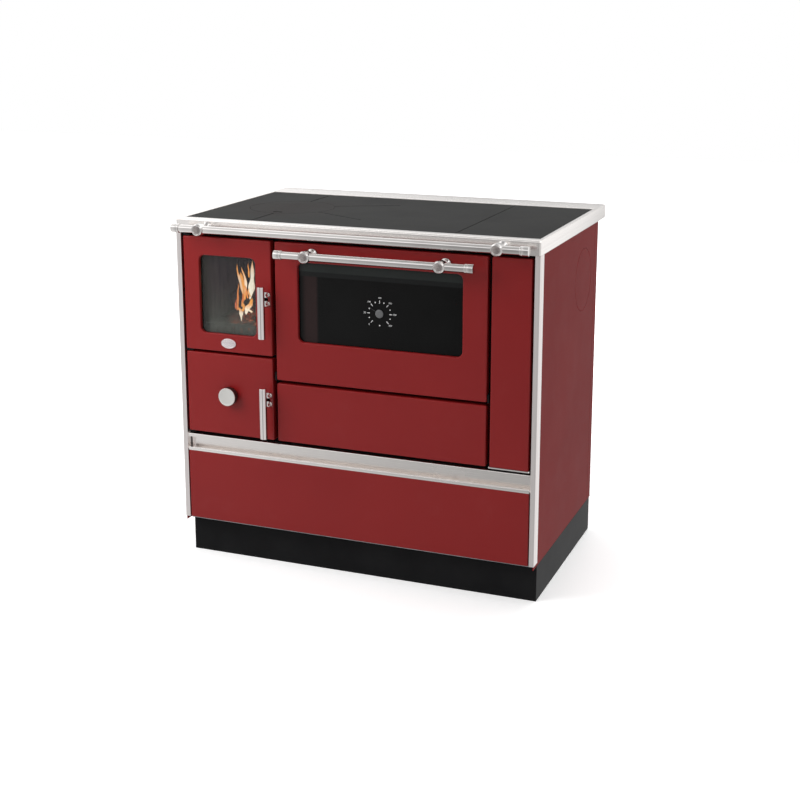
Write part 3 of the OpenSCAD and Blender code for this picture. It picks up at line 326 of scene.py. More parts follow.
def redEnamel(name, gloss, s):
    # fired enamel: slow drift of tone, fine specks, faint smudges and an orange-peel relief
    f = Finish(name, Specular_IOR_Level=gloss)
    drift = f.noise(2.4, 2.0)
    smudge = f.noise(11.0, 4.0, 0.6)
    speck = f.noise(2600.0, 2.0, 0.7)
    base = f.fade(drift, 0.3, 0.7, s["deep"], s["bright"])
    base = f.fade(speck, 0.62, 0.8, base, s["speck"], 0.22)
    base = f.fade(smudge, 0.56, 0.74, base, s["smudge"], 0.04)
    f.colour(base)
    f.rough(s["rough"] + 0.10 * (smudge - 0.5) + 0.05 * (speck - 0.5))
    peel = f.noise(420.0, 2.0)
    f.relief(0.7 * peel + 0.3 * speck, 0.00006, 0.35)
    return f.material


def blackEnamel():
    f = Finish("blackEnamel", Specular_IOR_Level=0.05)
    fleck = f.noise(3200.0, 2.0, 0.7)
    cloud = f.noise(6.0, 4.0, 0.6)
    base = f.fade(cloud, 0.35, 0.7, rgb(22, 22, 23), rgb(28, 28, 29))
    base = f.fade(fleck, 0.63, 0.76, base, rgb(80, 80, 84), 0.3)
    f.colour(base)
    f.rough(0.42 + 0.16 * (cloud - 0.5) + 0.1 * (fleck - 0.5))
    f.relief(f.noise(520.0, 2.0) * 0.6 + fleck * 0.4, 0.00008, 0.4)
    return f.material


# brushed pieces: the two tones of their lines, their roughness and the axis of the lines,
# which turns from front to back further out than sidesFrom
brushed = {
    "stainless": {"light": rgb(254, 250, 247), "dark": rgb(246, 241, 238), "rough": 0.25,
                  "along": "x", "sidesFrom": 0.44},
    "post": {"light": rgb(254, 248, 246), "dark": rgb(236, 229, 227), "rough": 0.38,
             "along": "z"},
    "lever": {"light": rgb(252, 246, 245), "dark": rgb(226, 218, 216), "rough": 0.12,
              "along": "z"},
    "badge": {"light": rgb(255, 247, 248), "dark": rgb(243, 232, 234), "rough": 0.28,
              "along": "x"},
}
grinding = {"along": 0.8, "across": 2600.0, "bandAlong": 0.3, "bandAcross": 150.0}


def brushedMetal(name, s):
    # fine grinding lines along an axis, with broader bands of the same direction
    f = Finish(name, Metallic=1.0)
    g, light, dark = grinding, s["light"], s["dark"]

    def lines(turn):
        fineStretch = [g["along"] if axis == turn else g["across"] for axis in "xyz"]
        bandStretch = [g["bandAlong"] if axis == turn else g["bandAcross"] for axis in "xyz"]
        return (f.noise(1.0, 2.0, 0.6, stretch=fineStretch),
                f.noise(1.0, 2.0, 0.5, stretch=bandStretch))

    fine, band = lines(s["along"])
    if "sidesFrom" in s:
        edge = f.step(abs(f.axes()[0]), s["sidesFrom"] - 0.0005, s["sidesFrom"] + 0.0005)
        fineSide, bandSide = lines("y")
        fine = fine + edge * (fineSide - fine)
        band = band + edge * (bandSide - band)
    tone = f.step(0.6 * fine + 0.4 * band, 0.34, 0.66)
    hand = f.step(f.noise(7.0, 3.0, 0.6), 0.52, 0.78)
    f.colour(f.mix(hand * 0.08, f.mix(tone, dark, light), dark))
    f.rough(s["rough"] + 0.10 * (fine - 0.5) + 0.05 * hand)
    f.relief(fine, 0.000008, 0.15)
    return f.material


def satinSteel():
    # darker turned faces at the ends of the rail and the handle
    f = Finish("satinSteel", Metallic=1.0)
    turn = f.noise(520.0, 3.0, 0.7)
    f.colour(f.fade(turn, 0.3, 0.7, rgb(150, 141, 139), rgb(196, 188, 185)))
    f.rough(0.34 + 0.16 * (turn - 0.5))
    f.relief(turn, 0.00006, 0.4)
    return f.material


def polishedSteel():
    f = Finish("polishedSteel", Metallic=1.0)
    wipe = f.noise(9.0, 3.0, 0.6)
    scratch = f.noise(1.0, 2.0, 0.6, stretch=(160.0, 1900.0, 1900.0))
    f.colour(f.fade(wipe, 0.3, 0.75, rgb(226, 223, 221), rgb(216, 212, 210)))
    f.rough(0.09 + 0.04 * f.step(wipe, 0.45, 0.8) + 0.02 * scratch)
    f.relief(scratch, 0.000002, 0.1)
    return f.material


hob = {"dark": rgb(42, 42, 42), "light": rgb(48, 48, 47), "cloud": rgb(38, 38, 39),
       "heat": rgb(54, 47, 45), "rough": 0.52, "lid": (-0.272, -0.002)}


def hobSteel(s):
    # ground steel with darker clouds and a heat tint round the lid
    f = Finish("hobSteel", Specular_IOR_Level=0.01)
    ground = f.noise(1.0, 3.0, 0.65, stretch=(3.0, 1400.0, 40.0))
    cloud = f.noise(5.0, 4.0, 0.6)
    x, y, _ = f.axes()
    dx, dy = x - s["lid"][0], y - s["lid"][1]
    overFire = 1.0 - f.step(dx * dx + dy * dy, 0.004, 0.045)
    base = f.fade(ground, 0.3, 0.7, s["dark"], s["light"])
    base = f.fade(cloud, 0.45, 0.75, base, s["cloud"], 0.35)
    f.colour(f.mix(overFire * 0.25 * f.step(cloud, 0.3, 0.7), base, s["heat"]))
    f.rough(s["rough"] + 0.14 * (ground - 0.5) + 0.12 * (cloud - 0.5))
    f.relief(ground, 0.00004, 0.4)
    return f.material


def blackSteel():
    f = Finish("blackSteel", Specular_IOR_Level=0.3)
    grain = f.noise(1500.0, 3.0, 0.7)
    soot = f.noise(14.0, 5.0, 0.65)
    base = f.fade(soot, 0.35, 0.7, rgb(44, 44, 45), rgb(30, 30, 31))
    f.colour(f.fade(grain, 0.6, 0.8, base, rgb(66, 64, 62), 0.3))
    f.rough(0.62 + 0.2 * (soot - 0.5))
    f.relief(grain, 0.00015, 0.4)
    return f.material


def castIron():
    f = Finish("castIron", Specular_IOR_Level=0.35)
    sand = f.noise(900.0, 4.0, 0.7)
    ash = f.noise(24.0, 5.0, 0.65)
    base = f.fade(ash, 0.45, 0.75, rgb(48, 45, 43), rgb(96, 90, 84))
    f.colour(f.fade(sand, 0.55, 0.75, base, rgb(28, 26, 25), 0.4))
    f.rough(0.72 + 0.15 * (ash - 0.5))
    f.relief(sand, 0.0004, 0.6)
    return f.material


def zincSteel():
    f = Finish("zincSteel", Metallic=0.9)
    spangle = f.cells(95.0, out="Color")
    tone = f.node("SeparateColor", None, {0: spangle})
    worn = f.noise(30.0, 4.0, 0.6)
    f.colour(f.mix(tone, rgb(150, 153, 156), rgb(184, 187, 190)))
    f.rough(0.38 + 0.14 * tone + 0.1 * (worn - 0.5))
    f.relief(worn, 0.00005, 0.2)
    return f.material


def fireclay():
    f = Finish("sootyFireclay", Specular_IOR_Level=0.15)
    grit = f.noise(700.0, 4.0, 0.75)
    soot = f.noise(13.0, 5.0, 0.6)
    drip = f.noise(1.0, 4.0, 0.6, stretch=(70.0, 70.0, 6.0))
    z = f.axes()[2]
    high = f.step(z, 0.56, 0.72)
    dark = f.clip(0.45 * f.step(soot, 0.3, 0.7) + 0.5 * f.step(drip, 0.35, 0.7) + 0.3 * high)
    base = f.mix(dark, rgb(112, 104, 96), rgb(44, 43, 43))
    f.colour(f.fade(grit, 0.58, 0.8, base, rgb(138, 128, 116), 0.4))
    f.rough(0.9 + 0.1 * (grit - 0.5))
    f.relief(grit, 0.0006, 0.7)
    return f.material


def rope():
    f = Finish("glassRope", Specular_IOR_Level=0.25, Sheen_Weight=0.3)
    strand = f.noise(1.0, 3.0, 0.6, stretch=(1200.0, 1200.0, 1200.0))
    soil = f.noise(40.0, 4.0, 0.6)
    base = f.fade(strand, 0.35, 0.7, rgb(120, 116, 108), rgb(176, 171, 160))
    f.colour(f.fade(soil, 0.5, 0.75, base, rgb(70, 66, 62), 0.6))
    f.rough(0.85 + 0.1 * (strand - 0.5))
    f.relief(strand, 0.0003, 0.6)
    return f.material


def centreOf(node):
    low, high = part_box(node)
    return [(a + b) / 2 for a, b in zip(low, high)]


fireWindow = {"halfWide": 0.0745, "halfHigh": 0.0945, "low": rgb(86, 88, 82),
              "high": rgb(58, 54, 57), "left": rgb(46, 48, 45), "soot": rgb(34, 33, 33),
              "clear": 0.32}


def clearGlass(s):
    # ceramic glass, a little smoked, sooted towards its edge, lighter towards the bottom, with
    # painted shade in a strip down the left
    f = Finish("fireGlass", Roughness=0.05, IOR=1.5)
    x, _, z = f.axes()
    cx, _, cz = centreOf("fire_door_skin")
    rim = f.math("MAXIMUM", abs(x - cx) / s["halfWide"], abs(z - cz) / s["halfHigh"])
    soot = f.step(rim + 0.25 * (f.noise(22.0, 4.0, 0.6) - 0.5), 0.72, 1.05)
    streak = f.noise(1.0, 4.0, 0.6, stretch=(60.0, 60.0, 4.0))
    haze = f.fade(z, cz - 0.1, cz + 0.05, s["low"], s["high"])
    # painted shade: a darker strip down the left of the glass
    haze = f.fade(x, cx - 0.062, cx - 0.046, s["left"], haze)
    f.colour(f.mix(soot * 0.6, haze, s["soot"]))
    smoked = 1.0 - f.step(z, cz - 0.088, cz - 0.05)    # a band along the bottom
    cover = s["clear"] + 0.12 * soot + 0.08 * f.step(streak, 0.4, 0.7) + 0.3 * smoked
    f.feed(f.shader, "Alpha", cover)
    f.relief(f.noise(6.0, 1.0), 0.0001, 0.1)
    return f.material


# the oven's glass: tones, what the door's folded edge hides, and how far the bands of painted
# reflection reach
ovenPane = {"dark": rgb(12, 12, 12), "light": rgb(15, 15, 15), "left": rgb(38, 28, 28),
            "under": rgb(27, 28, 28), "top": rgb(40, 43, 42), "lap": 0.015,
            "topTo": 0.020, "underTo": 0.031, "leftTo": 0.042}


def darkGlass(s):
    # dark printed glass, with painted reflections: lighter bands along the top and a warm one down
    # the left
    f = Finish("ovenGlass", Specular_IOR_Level=0.14)
    low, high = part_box("oven_door_glass")
    x, _, z = f.axes()
    down, right = (high.z - s["lap"]) - z, x - (low.x + s["lap"])
    left = 1.0 - f.step(right, s["leftTo"], s["leftTo"] + 0.008)
    faint = f.noise(7.0, 3.0, 0.6)
    base = f.fade(faint, 0.3, 0.7, s["dark"], s["light"])
    base = f.mix(left * f.step(right, 0.004, 0.020), base, s["left"])
    base = f.fade(down, s["underTo"], s["underTo"] + 0.003, s["under"], base)
    f.colour(f.fade(down, s["topTo"], s["topTo"] + 0.003, s["top"], base))
    f.rough(0.07 + 0.05 * f.step(faint, 0.45, 0.8))
    f.relief(f.noise(5.0, 1.0), 0.0001, 0.1)
    return f.material


def hubMetal():
    f = Finish("dialHub", Metallic=0.4, Specular_IOR_Level=0.4)
    ring = f.noise(900.0, 2.0)
    f.colour(f.mix(ring, rgb(92, 93, 94), rgb(112, 113, 114)))
    f.rough(0.42 + 0.1 * (ring - 0.5))
    return f.material


def dialPrint():
    f = Finish("dialPrint", Specular_IOR_Level=0.3)
    ink = f.noise(1400.0, 2.0)
    f.colour(f.mix(ink, rgb(196, 196, 196), rgb(214, 214, 214)))
    f.rough(0.5 + 0.1 * (ink - 0.5))
    return f.material


# where the fire glows: the middle of the flames over the logs, and its patch on the bed
flameRoot = {"x": -0.315, "bedX": -0.318, "bedY": -0.13, "bedWide": 0.045, "bedDeep": 0.07}


def charredWood():
    # black scales of char, with embers glowing in the cracks on the lower side
    f = Finish("charredWood", Specular_IOR_Level=0.2, Emission_Strength=1.0)
    scales = f.cells(95.0, feature="DISTANCE_TO_EDGE")
    grain = f.noise(1.0, 4.0, 0.65, stretch=(300.0, 40.0, 300.0))
    x, _, z = f.axes()
    base = f.fade(grain, 0.35, 0.7, rgb(34, 28, 25), rgb(88, 62, 44))
    crack = 1.0 - f.step(scales, 0.0, 0.09)
    f.colour(f.mix(crack * 0.8, base, rgb(18, 15, 14)))
    low = 1.0 - f.step(z + 0.05 * (f.noise(30.0, 3.0) - 0.5), 0.575, 0.62)
    near = 1.0 - f.step(abs(x - flameRoot["x"]), 0.015, 0.045)
    glow = f.clip(crack * low * near * 1.2)
    f.emit(f.mix(glow, (0, 0, 0, 1), rgb(255, 106, 30)))
    f.rough(0.85 + 0.1 * (grain - 0.5))
    f.relief(scales * 0.6 + grain * 0.4, 0.002, 0.6)
    return f.material


def emberBed():
    f = Finish("emberBed", Specular_IOR_Level=0.1, Emission_Strength=0.8)
    lump = f.noise(70.0, 4.0, 0.6)
    x, y, _ = f.axes()
    dx = (x - flameRoot["bedX"]) / flameRoot["bedWide"]
    dy = (y - flameRoot["bedY"]) / flameRoot["bedDeep"]
    near = 1.0 - f.step(dx * dx + dy * dy, 0.2, 1.2)   # the part under the flames
    heat = near * f.step(f.noise(60.0, 3.0, 0.6), 0.45, 0.62)
    f.colour(f.fade(lump, 0.4, 0.7, rgb(48, 40, 36), rgb(120, 112, 106)))
    f.emit(f.mix(heat, (0, 0, 0, 1), rgb(255, 118, 38)))
    f.rough(0.9 + 0.1 * (lump - 0.5))
    f.relief(lump, 0.002, 0.8)
    return f.material


# a flame's colours at its edge and in its middle, for its red, gold and white parts
burning = {"red": (rgb(120, 42, 18), rgb(214, 104, 58)),
           "gold": (rgb(196, 98, 34), rgb(242, 164, 80)),
           "white": (rgb(252, 186, 124), rgb(255, 247, 224)), "strength": 2.0}


def flame(s):
    # three attributes: core (0 edge, 1 middle), up (0 root, 1 tip), hot (0 red, 1 white)
    f = Finish("flame", Roughness=1.0, Specular_IOR_Level=0.0, Emission_Strength=s["strength"])
    core, up, hot = (f.node("Attribute", {"attribute_name": name}, out="Fac")
                     for name in ("core", "up", "hot"))
    lick = f.noise(1.0, 4.0, 0.6, stretch=(260.0, 260.0, 40.0))
    body = f.clip(core * 1.2 + 0.9 * (lick - 0.5))
    red = f.fade(body, 0.1, 0.7, *s["red"])
    gold = f.fade(body, 0.1, 0.7, *s["gold"])
    white = f.fade(body, 0.1, 0.6, *s["white"])
    warm = f.fade(hot, 0.05, 0.5, red, gold)
    f.colour((0, 0, 0, 1))
    f.emit(f.fade(hot, 0.5, 0.95, warm, white))
    dense = f.step(core + 0.5 * (lick - 0.5), 0.0, 0.65)
    f.feed(f.shader, "Alpha", f.clip(dense * (1.0 - 0.5 * f.step(up, 0.8, 1.0))))
    return f.material


finishOf = {
    "red_enamel": redEnamel("redEnamel", enamel["frontGloss"], enamel),
    "black_enamel": blackEnamel(),
    "stainless": brushedMetal("brushedStainless", brushed["stainless"]),
    "polished_steel": polishedSteel(), "hob_steel": hobSteel(hob), "black_steel": blackSteel(),
    "cast_iron": castIron(), "zinc_steel": zincSteel(), "fireclay": fireclay(),
    "clear_glass": clearGlass(fireWindow), "dark_glass": darkGlass(ovenPane), "rope": rope(),
}
uprightSteel = brushedMetal("brushedStainlessUpright", brushed["post"])
sideEnamel = redEnamel("redSideEnamel", enamel["sideGloss"], enamel)
finishFor = {"corner_post_left": uprightSteel, "corner_post_right": uprightSteel,
             "side_panel_left": sideEnamel, "side_panel_right": sideEnamel,
             "side_outlet_disc": sideEnamel, "back_cover": sideEnamel,
             "oven_hinges": finishOf["black_enamel"], "door_hinges": finishOf["black_enamel"]}
print("finishes ready:", len(finishOf) + 2)


# mesh helpers

def roundAngles(count):
    return np.linspace(0, 2 * math.pi, count, endpoint=False)


class Shell:
    # collects grids of points and flat caps, then makes them one mesh
    def __init__(self):
        self.points, self.faces, self.count = [], [], 0

    def grid(self, p, closeRows=False, closeCols=False, caps=False):
        # faces join each point of a rows x cols grid to the next row and column
        rows, cols = p.shape[:2]
        i = np.arange(rows if closeRows else rows - 1)[:, None]
        j = np.arange(cols if closeCols else cols - 1)[None, :]
        nextRow, nextCol = (i + 1) % rows, (j + 1) % cols
        quads = np.stack([i * cols + j + 0 * nextCol, i * cols + nextCol,
                          nextRow * cols + nextCol, nextRow * cols + j + 0 * nextCol], -1)
        self.faces += (quads.reshape(-1, 4) + self.count).tolist()
        if caps:
            first = self.count + np.arange(cols)
            self.faces.append(first[::-1].tolist())
            self.faces.append((first + (rows - 1) * cols).tolist())
        self.points.append(np.asarray(p, float).reshape(-1, 3))
        self.count += rows * cols
        return self

    def mesh(self, name, outward=True):
        data = bpy.data.meshes.new(name)
        data.from_pydata(np.concatenate(self.points).tolist(), [], self.faces)
        if outward:
            bm = bmesh.new()
            bm.from_mesh(data)
            bmesh.ops.remove_doubles(bm, verts=bm.verts, dist=1e-6)
            bmesh.ops.recalc_face_normals(bm, faces=bm.faces)
            bm.to_mesh(data)
            bm.free()
        return data


def addPiece(name, data, body, slot, finish=None, node=None, soften=None, angle=32):
    # soften is the width and the segments of a live bevel on edges sharper than angle
    data.materials.clear()
    data.materials.append(finish or finishOf[slot])
    data.shade_smooth()
    made = bpy.data.objects.new(name, data)
    scene.collection.objects.link(made)
    if soften:
        bevel = made.modifiers.new("Bevel", "BEVEL")
        bevel.width, bevel.segments = soften
        weights = data.attributes.get("bevel_weight_edge")
        bevel.limit_method = "WEIGHT" if weights else "ANGLE"
        bevel.angle_limit = math.radians(angle)
        bevel.use_clamp_overlap = weights is None
        even = made.modifiers.new("WeightedNormal", "WEIGHTED_NORMAL")
        even.keep_sharp = True
    data.set_sharp_from_angle(angle=math.radians(angle))
    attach(made, body)
    if node:
        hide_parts(node)
    return made


def cadCopy(node, name, behind=None):
    # the node's triangles, merged into flat faces; only what lies behind a y, closed again
    bm = bmesh.new()
    bm.from_mesh(nodes[node].data)
    bmesh.ops.remove_doubles(bm, verts=bm.verts, dist=1e-6)
    bmesh.ops.dissolve_limit(bm, angle_limit=math.radians(0.4), verts=bm.verts, edges=bm.edges)
    if behind is not None:
        ahead = [v for v in bm.verts if v.co.y < behind]
        bmesh.ops.delete(bm, geom=ahead, context="VERTS")
        bmesh.ops.holes_fill(bm, edges=[e for e in bm.edges if e.is_boundary])
    data = bpy.data.meshes.new(name)
    bm.to_mesh(data)
    bm.free()
    return data


def outlinesOf(bm, front):
    # closed loops of sharp edges in the front plane, each with its extent in x and z
    waiting = {e for e in bm.edges if len(e.link_faces) == 2
               and all(abs(v.co.y - front) < 1e-5 for v in e.verts)
               and e.calc_face_angle(0) > 0.6}
    loops = []
    while waiting:
        loop, todo = set(), [waiting.pop()]
        while todo:
            edge = todo.pop()
            loop.add(edge)
            near = {n for v in edge.verts for n in v.link_edges if n in waiting}
            waiting -= near
            todo += near
        xs = [v.co.x for e in loop for v in e.verts]
        zs = [v.co.z for e in loop for v in e.verts]
        loops.append((loop, min(xs), max(xs), max(zs) - min(zs)))
    return loops


def cutField(bm, front):
    # upright cuts through the holes stand in for the slanting edges that would crease
    holes = sorted(outlinesOf(bm, front), key=lambda row: row[2] - row[1])[:-1]
    cuts = sorted({round((row[1] + row[2]) / 2, 3) for row in holes})

    def field():
        return [f for f in bm.faces if all(abs(v.co.y - front) < 1e-5 for v in f.verts)]

    for x in cuts:
        faces = field()
        parts = faces + list({e for f in faces for e in f.edges} | {v for f in faces
                                                                    for v in f.verts})
        bmesh.ops.bisect_plane(bm, geom=parts, dist=1e-6, plane_co=(x, 0, 0),
                               plane_no=(1, 0, 0))
    edges = [-9] + cuts + [9]
    for low, high in zip(edges[:-1], edges[1:]):
        strip = [f for f in field() if low < f.calc_center_median().x < high]
        if len(strip) > 1:
            bmesh.ops.dissolve_faces(bm, faces=strip)
    bm.normal_update()


def weightFrontEdges(data):
    # full bevel weight on the outlines over 50 mm that lie in the front plane
    minSize = 0.05
    bm = bmesh.new()
    bm.from_mesh(data)
    front = min(v.co.y for v in bm.verts)
    cutField(bm, front)
    layer = bm.edges.layers.float.new("bevel_weight_edge")
    for loop, low, high, tall in outlinesOf(bm, front):
        if min(high - low, tall) > minSize:
            for edge in loop:
                edge[layer] = 1.0
    bm.to_mesh(data)
    bm.free()


def softEdges(node, width, segments=2, frontOnly=False):
    # the node's own shape with a rounding of the given width on its edges
    data = cadCopy(node, node)
    if frontOnly:
        weightFrontEdges(data)
    addPiece(node + ".soft", data, bodyOf[node], slotOf[node], finishFor.get(node), node,
             (width, segments))


def turned(shell, profile, origin, axis, around=64):
    # a profile of (radius, distance along the axis) carried round the axis
    profile = np.asarray(profile, float)
    t = roundAngles(around)
    ring = profile[:, 0, None]
    sides = {"x": (1, 2, 0), "y": (0, 2, 1), "z": (0, 1, 2)}[axis]
    p = np.zeros((len(profile), around, 3))
    p[..., sides[0]] = origin[sides[0]] + ring * np.cos(t)
    p[..., sides[1]] = origin[sides[1]] + ring * np.sin(t)
    p[..., sides[2]] = origin[sides[2]] + profile[:, 1, None]
    return shell.grid(p, closeCols=True, caps=True)


def rounded(profile, radius, steps=5):
    # corners of an open profile replaced by arcs: quadratic curves through the cut-back points
    profile = np.asarray(profile, float)
    out = [profile[0]]
    for before, here, after in zip(profile[:-2], profile[1:-1], profile[2:]):
        a, b = before - here, after - here
        cut = min(radius, 0.45 * np.linalg.norm(a), 0.45 * np.linalg.norm(b))
        start = here + a / np.linalg.norm(a) * cut
        end = here + b / np.linalg.norm(b) * cut
        for s in np.linspace(0, 1, steps):
            out.append((1 - s) ** 2 * start + 2 * s * (1 - s) * here + s * s * end)
    out.append(profile[-1])
    return np.array(out)


def roundedLoop(x0, x1, y0, y1, radius, corner=6):
    # outline of a rectangle with round corners, counter-clockwise
    t = np.linspace(0, math.pi / 2, corner + 1)
    parts = []
    for cx, cy, turn in ((x1 - radius, y1 - radius, 0), (x0 + radius, y1 - radius, 1),
                         (x0 + radius, y0 + radius, 2), (x1 - radius, y0 + radius, 3)):
        a = t + turn * math.pi / 2
        parts.append(np.stack([cx + radius * np.cos(a), cy + radius * np.sin(a)], -1))
    return np.concatenate(parts)


# sheet-metal pieces: copies of the CAD shapes with rounded edges

pressed = {"width": 0.0026, "segments": 4}
redFronts = ("fire_door_skin", "ash_door_skin", "oven_door_skin", "lower_panel",
             "narrow_panel", "drawer_front")
for name in redFronts:
    softEdges(name, pressed["width"], pressed["segments"], frontOnly=True)

# width of the rounding on each of the other sheet pieces
softer = {
    "plinth": 0.0010, "side_panel_left": 0.0004, "side_panel_right": 0.0004,
    "side_outlet_disc": 0.0010, "back_cover": 0.0005, "corner_post_left": 0.0006,
    "corner_post_right": 0.0006, "hob_plate": 0.0006, "flue_plate": 0.0006, "hob_lid": 0.0006,
    "narrow_panel_strip": 0.0006, "fire_latch_mount": 0.0008, "ash_latch_mount": 0.0008,
    "grate": 0.0010, "fire_fence": 0.0010, "firebricks": 0.0016, "ash_pan": 0.0004,
    "oven_box": 0.0004, "baking_tray": 0.0004, "drawer_box": 0.0004, "face_frame": 0.0006,
    "fire_door_frame": 0.0006, "ash_door_frame": 0.0006, "oven_door_frame": 0.0006,
    "flue_collar": 0.0008, "oven_shelf": 0.0003, "fire_door_glass": 0.0006,
    "oven_door_glass": 0.0006, "door_hinges": 0.0004, "oven_hinges": 0.0004,
    "latch_strikes": 0.0004, "drawer_channels": 0.0003, "firebox_casing": 0.0004,
    "ash_box": 0.0004, "smoke_duct": 0.0003, "hob_crossbar": 0.0005, "middle_shelf": 0.0003,
    "base_pan": 0.0003, "thermometer_body": 0.0004,
}
for name, width in softer.items():
    softEdges(name, width)
print("sheet pieces ready:", len(softer) + len(redFronts))


# top frame: rings of a folded profile, with the rolled front edge

topFrame = {"sheet": 0.002, "roll": 0.0045, "corner": 0.004, "steps": 6, "gap": 0.001,
            "ledge": 0.012, "return": 0.008, "innerRound": 0.0012, "footRound": 0.0016}


def makeTopFrame(s):
    # each ring is a rectangle; the profile runs from the inner ledge over the top and down
    low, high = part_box("top_frame")
    plateLow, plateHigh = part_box("hob_plate")
    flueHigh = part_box("flue_plate")[1]
    gap, ledge, fold = s["gap"], s["ledge"], s["return"]
    inner = (plateLow.x - gap, flueHigh.x + gap, plateLow.y - gap, plateHigh.y + gap)
    outer = (low.x, high.x, low.y, high.y)
    t, r = s["sheet"], s["roll"]
    lip, foot = s["innerRound"], s["footRound"]
    rings = []

    def ring(rect, inset, z, radius):
        x0, x1, y0, y1 = rect
        loop = roundedLoop(x0 + inset, x1 - inset, y0 + inset, y1 - inset, max(radius, 1e-4))
        rings.append(np.column_stack([loop, np.full(len(loop), z)]))

    arc = np.linspace(0, math.pi / 2, s["steps"])
    ring(inner, ledge, plateLow.z, 0.001)
    ring(inner, 0.0, plateLow.z, 0.0006)
    for a in arc:
        ring(inner, -lip * (1 - math.cos(a)), high.z - lip * (1 - math.sin(a)), 0.0008)
    for a in arc[::-1]:
        ring(outer, r * (1 - math.cos(a)), high.z - r * (1 - math.sin(a)), s["corner"])
    for a in arc:
        ring(outer, foot * (1 - math.cos(a)), low.z + foot * (1 - math.sin(a)), s["corner"])
    ring(outer, fold, low.z, 0.002)
    ring(outer, fold, low.z + t, 0.002)
    ring(outer, t, low.z + t, 0.002)
    ring(outer, t, high.z - r - 0.001, 0.002)
    ring(outer, r + 0.001, high.z - t, 0.001)
    ring(inner, -t, high.z - t, 0.0006)
    ring(inner, -t, plateLow.z - t, 0.0006)
    ring(inner, ledge, plateLow.z - t, 0.001)
    shell = Shell().grid(np.array(rings), closeRows=True, closeCols=True)
    addPiece("top_frame.folded", shell.mesh("topFrame"), "carcass", "stainless",
             node="top_frame", angle=40)


makeTopFrame(topFrame)


# drawer grip and latch levers: one section carried along the piece

grip = {"sheet": 0.002, "bend": 0.0022, "lip": 0.0085, "bead": 0.00175, "depth": 0.019}
lever = {"wide": 0.016, "thick": 0.012, "crown": 0.0034, "edge": 0.0022, "end": 0.0016}


def carried(shell, section, stations, place):
    # the section (a closed loop of 2-D points) repeated at each station, by place(section, t)
    shell.grid(np.array([place(section, t) for t in stations]), closeCols=True, caps=True)
    return shell


def makeGrip(s):
    # C-shaped channel: top lip, upright web set back, floor, and a lip with a round edge
    low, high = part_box("drawer_grip")
    t, r = s["sheet"], s["bead"]
    front, back = low.y, low.y + s["depth"]
    z0, z1 = low.z, high.z
    outer = rounded([(front + r, z0), (back + t, z0), (back + t, z1), (front, z1),
                     (front, z1 - s["lip"])], s["bend"], 6)
    inner = rounded([(front + t, z1 - s["lip"]), (front + t, z1 - t), (back, z1 - t),
                     (back, z0 + t), (front + 2 * r, z0 + t)], s["bend"] - 0.0006, 6)
    turn = np.linspace(0, math.pi, 14)
    middle = z0 + s["lip"] - r
    bead = np.column_stack([front + r + r * np.cos(turn), middle + r * np.sin(turn)])
    section = np.vstack([outer, inner, bead, [(front, z0 + r)], [(front + 0.0005, z0 + 0.0005)]])

    def place(points, x):
        return np.column_stack([np.full(len(points), x), points[:, 0], points[:, 1]])

    shell = carried(Shell(), section, np.linspace(low.x, high.x, 5), place)
    addPiece("drawer_grip.folded", shell.mesh("drawerGrip"), bodyOf["drawer_grip"], "stainless",
             node="drawer_grip", angle=40)


def makeLever(node, s):
    # bar with a crowned front, a half cosine across its width; the arm comes from the CAD shape
    low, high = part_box(node)
    w, e = s["wide"] / 2, s["edge"]
    u = np.linspace(-1, 1, 25)
    crown = np.column_stack([u * (w - 0.0003), (1 - np.cos(u * math.pi / 2)) * s["crown"]])
    t = np.linspace(0, math.pi / 2, 6)
    right = np.column_stack([w - e + e * np.cos(t), s["thick"] - e + e * np.sin(t)])
    left = np.column_stack([-w + e - e * np.sin(t), s["thick"] - e + e * np.cos(t)])
    section = np.vstack([crown, right, left])
    cx = low.x + w

    def place(points, station):
        z, shrink = station
        middle = s["thick"] / 2
        return np.column_stack([cx + points[:, 0] * (1 - shrink / w),
                                low.y + middle + (points[:, 1] - middle) * (1 - shrink / middle),
                                np.full(len(points), z)])

    r = s["end"]
    arc = [(r * (1 - math.cos(a)), r * (1 - math.sin(a))) for a in np.linspace(0, math.pi / 2, 5)]
    stations = [(low.z + up, inward) for up, inward in arc]
    stations += [(high.z - up, inward) for up, inward in arc[::-1]]
    shell = carried(Shell(), section, stations, place)
    body = bodyOf[node]
    addPiece(node + ".bar", shell.mesh(node + "Bar"), body, "polished_steel", uprightPolish, node,
             angle=40)
    # the arm is black steel as painted shade: it stands for the shadow in the mount's notch
    arm = cadCopy(node, node + "Arm", behind=low.y + s["thick"] + 0.0002)
    addPiece(node + ".arm", arm, body, "polished_steel", finishOf["black_steel"],
             soften=(0.0004, 2))


uprightPolish = brushedMetal("polishedUpright", brushed["lever"])
makeGrip(grip)
for node in ("fire_latch_lever", "ash_latch_lever"):
    makeLever(node, lever)
print("grip and levers ready")


# rail and oven handle

plugFinish = satinSteel()
# a support's radii and lengths, outwards from the front
support = {"foot": 0.0132, "neck": 0.0072, "head": 0.0142, "headLong": 0.026, "out": 0.040,
           "past": 0.014, "face": 0.0102, "dish": 0.0022}
cap = {"radius": 0.011, "long": 0.020, "ring": 0.0042, "groove": 0.0012}
bar = {"radius": 0.009, "headHalf": 0.014, "handleHalf": 0.163}
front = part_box("drawer_front")[0].y    # the plane of the red fronts


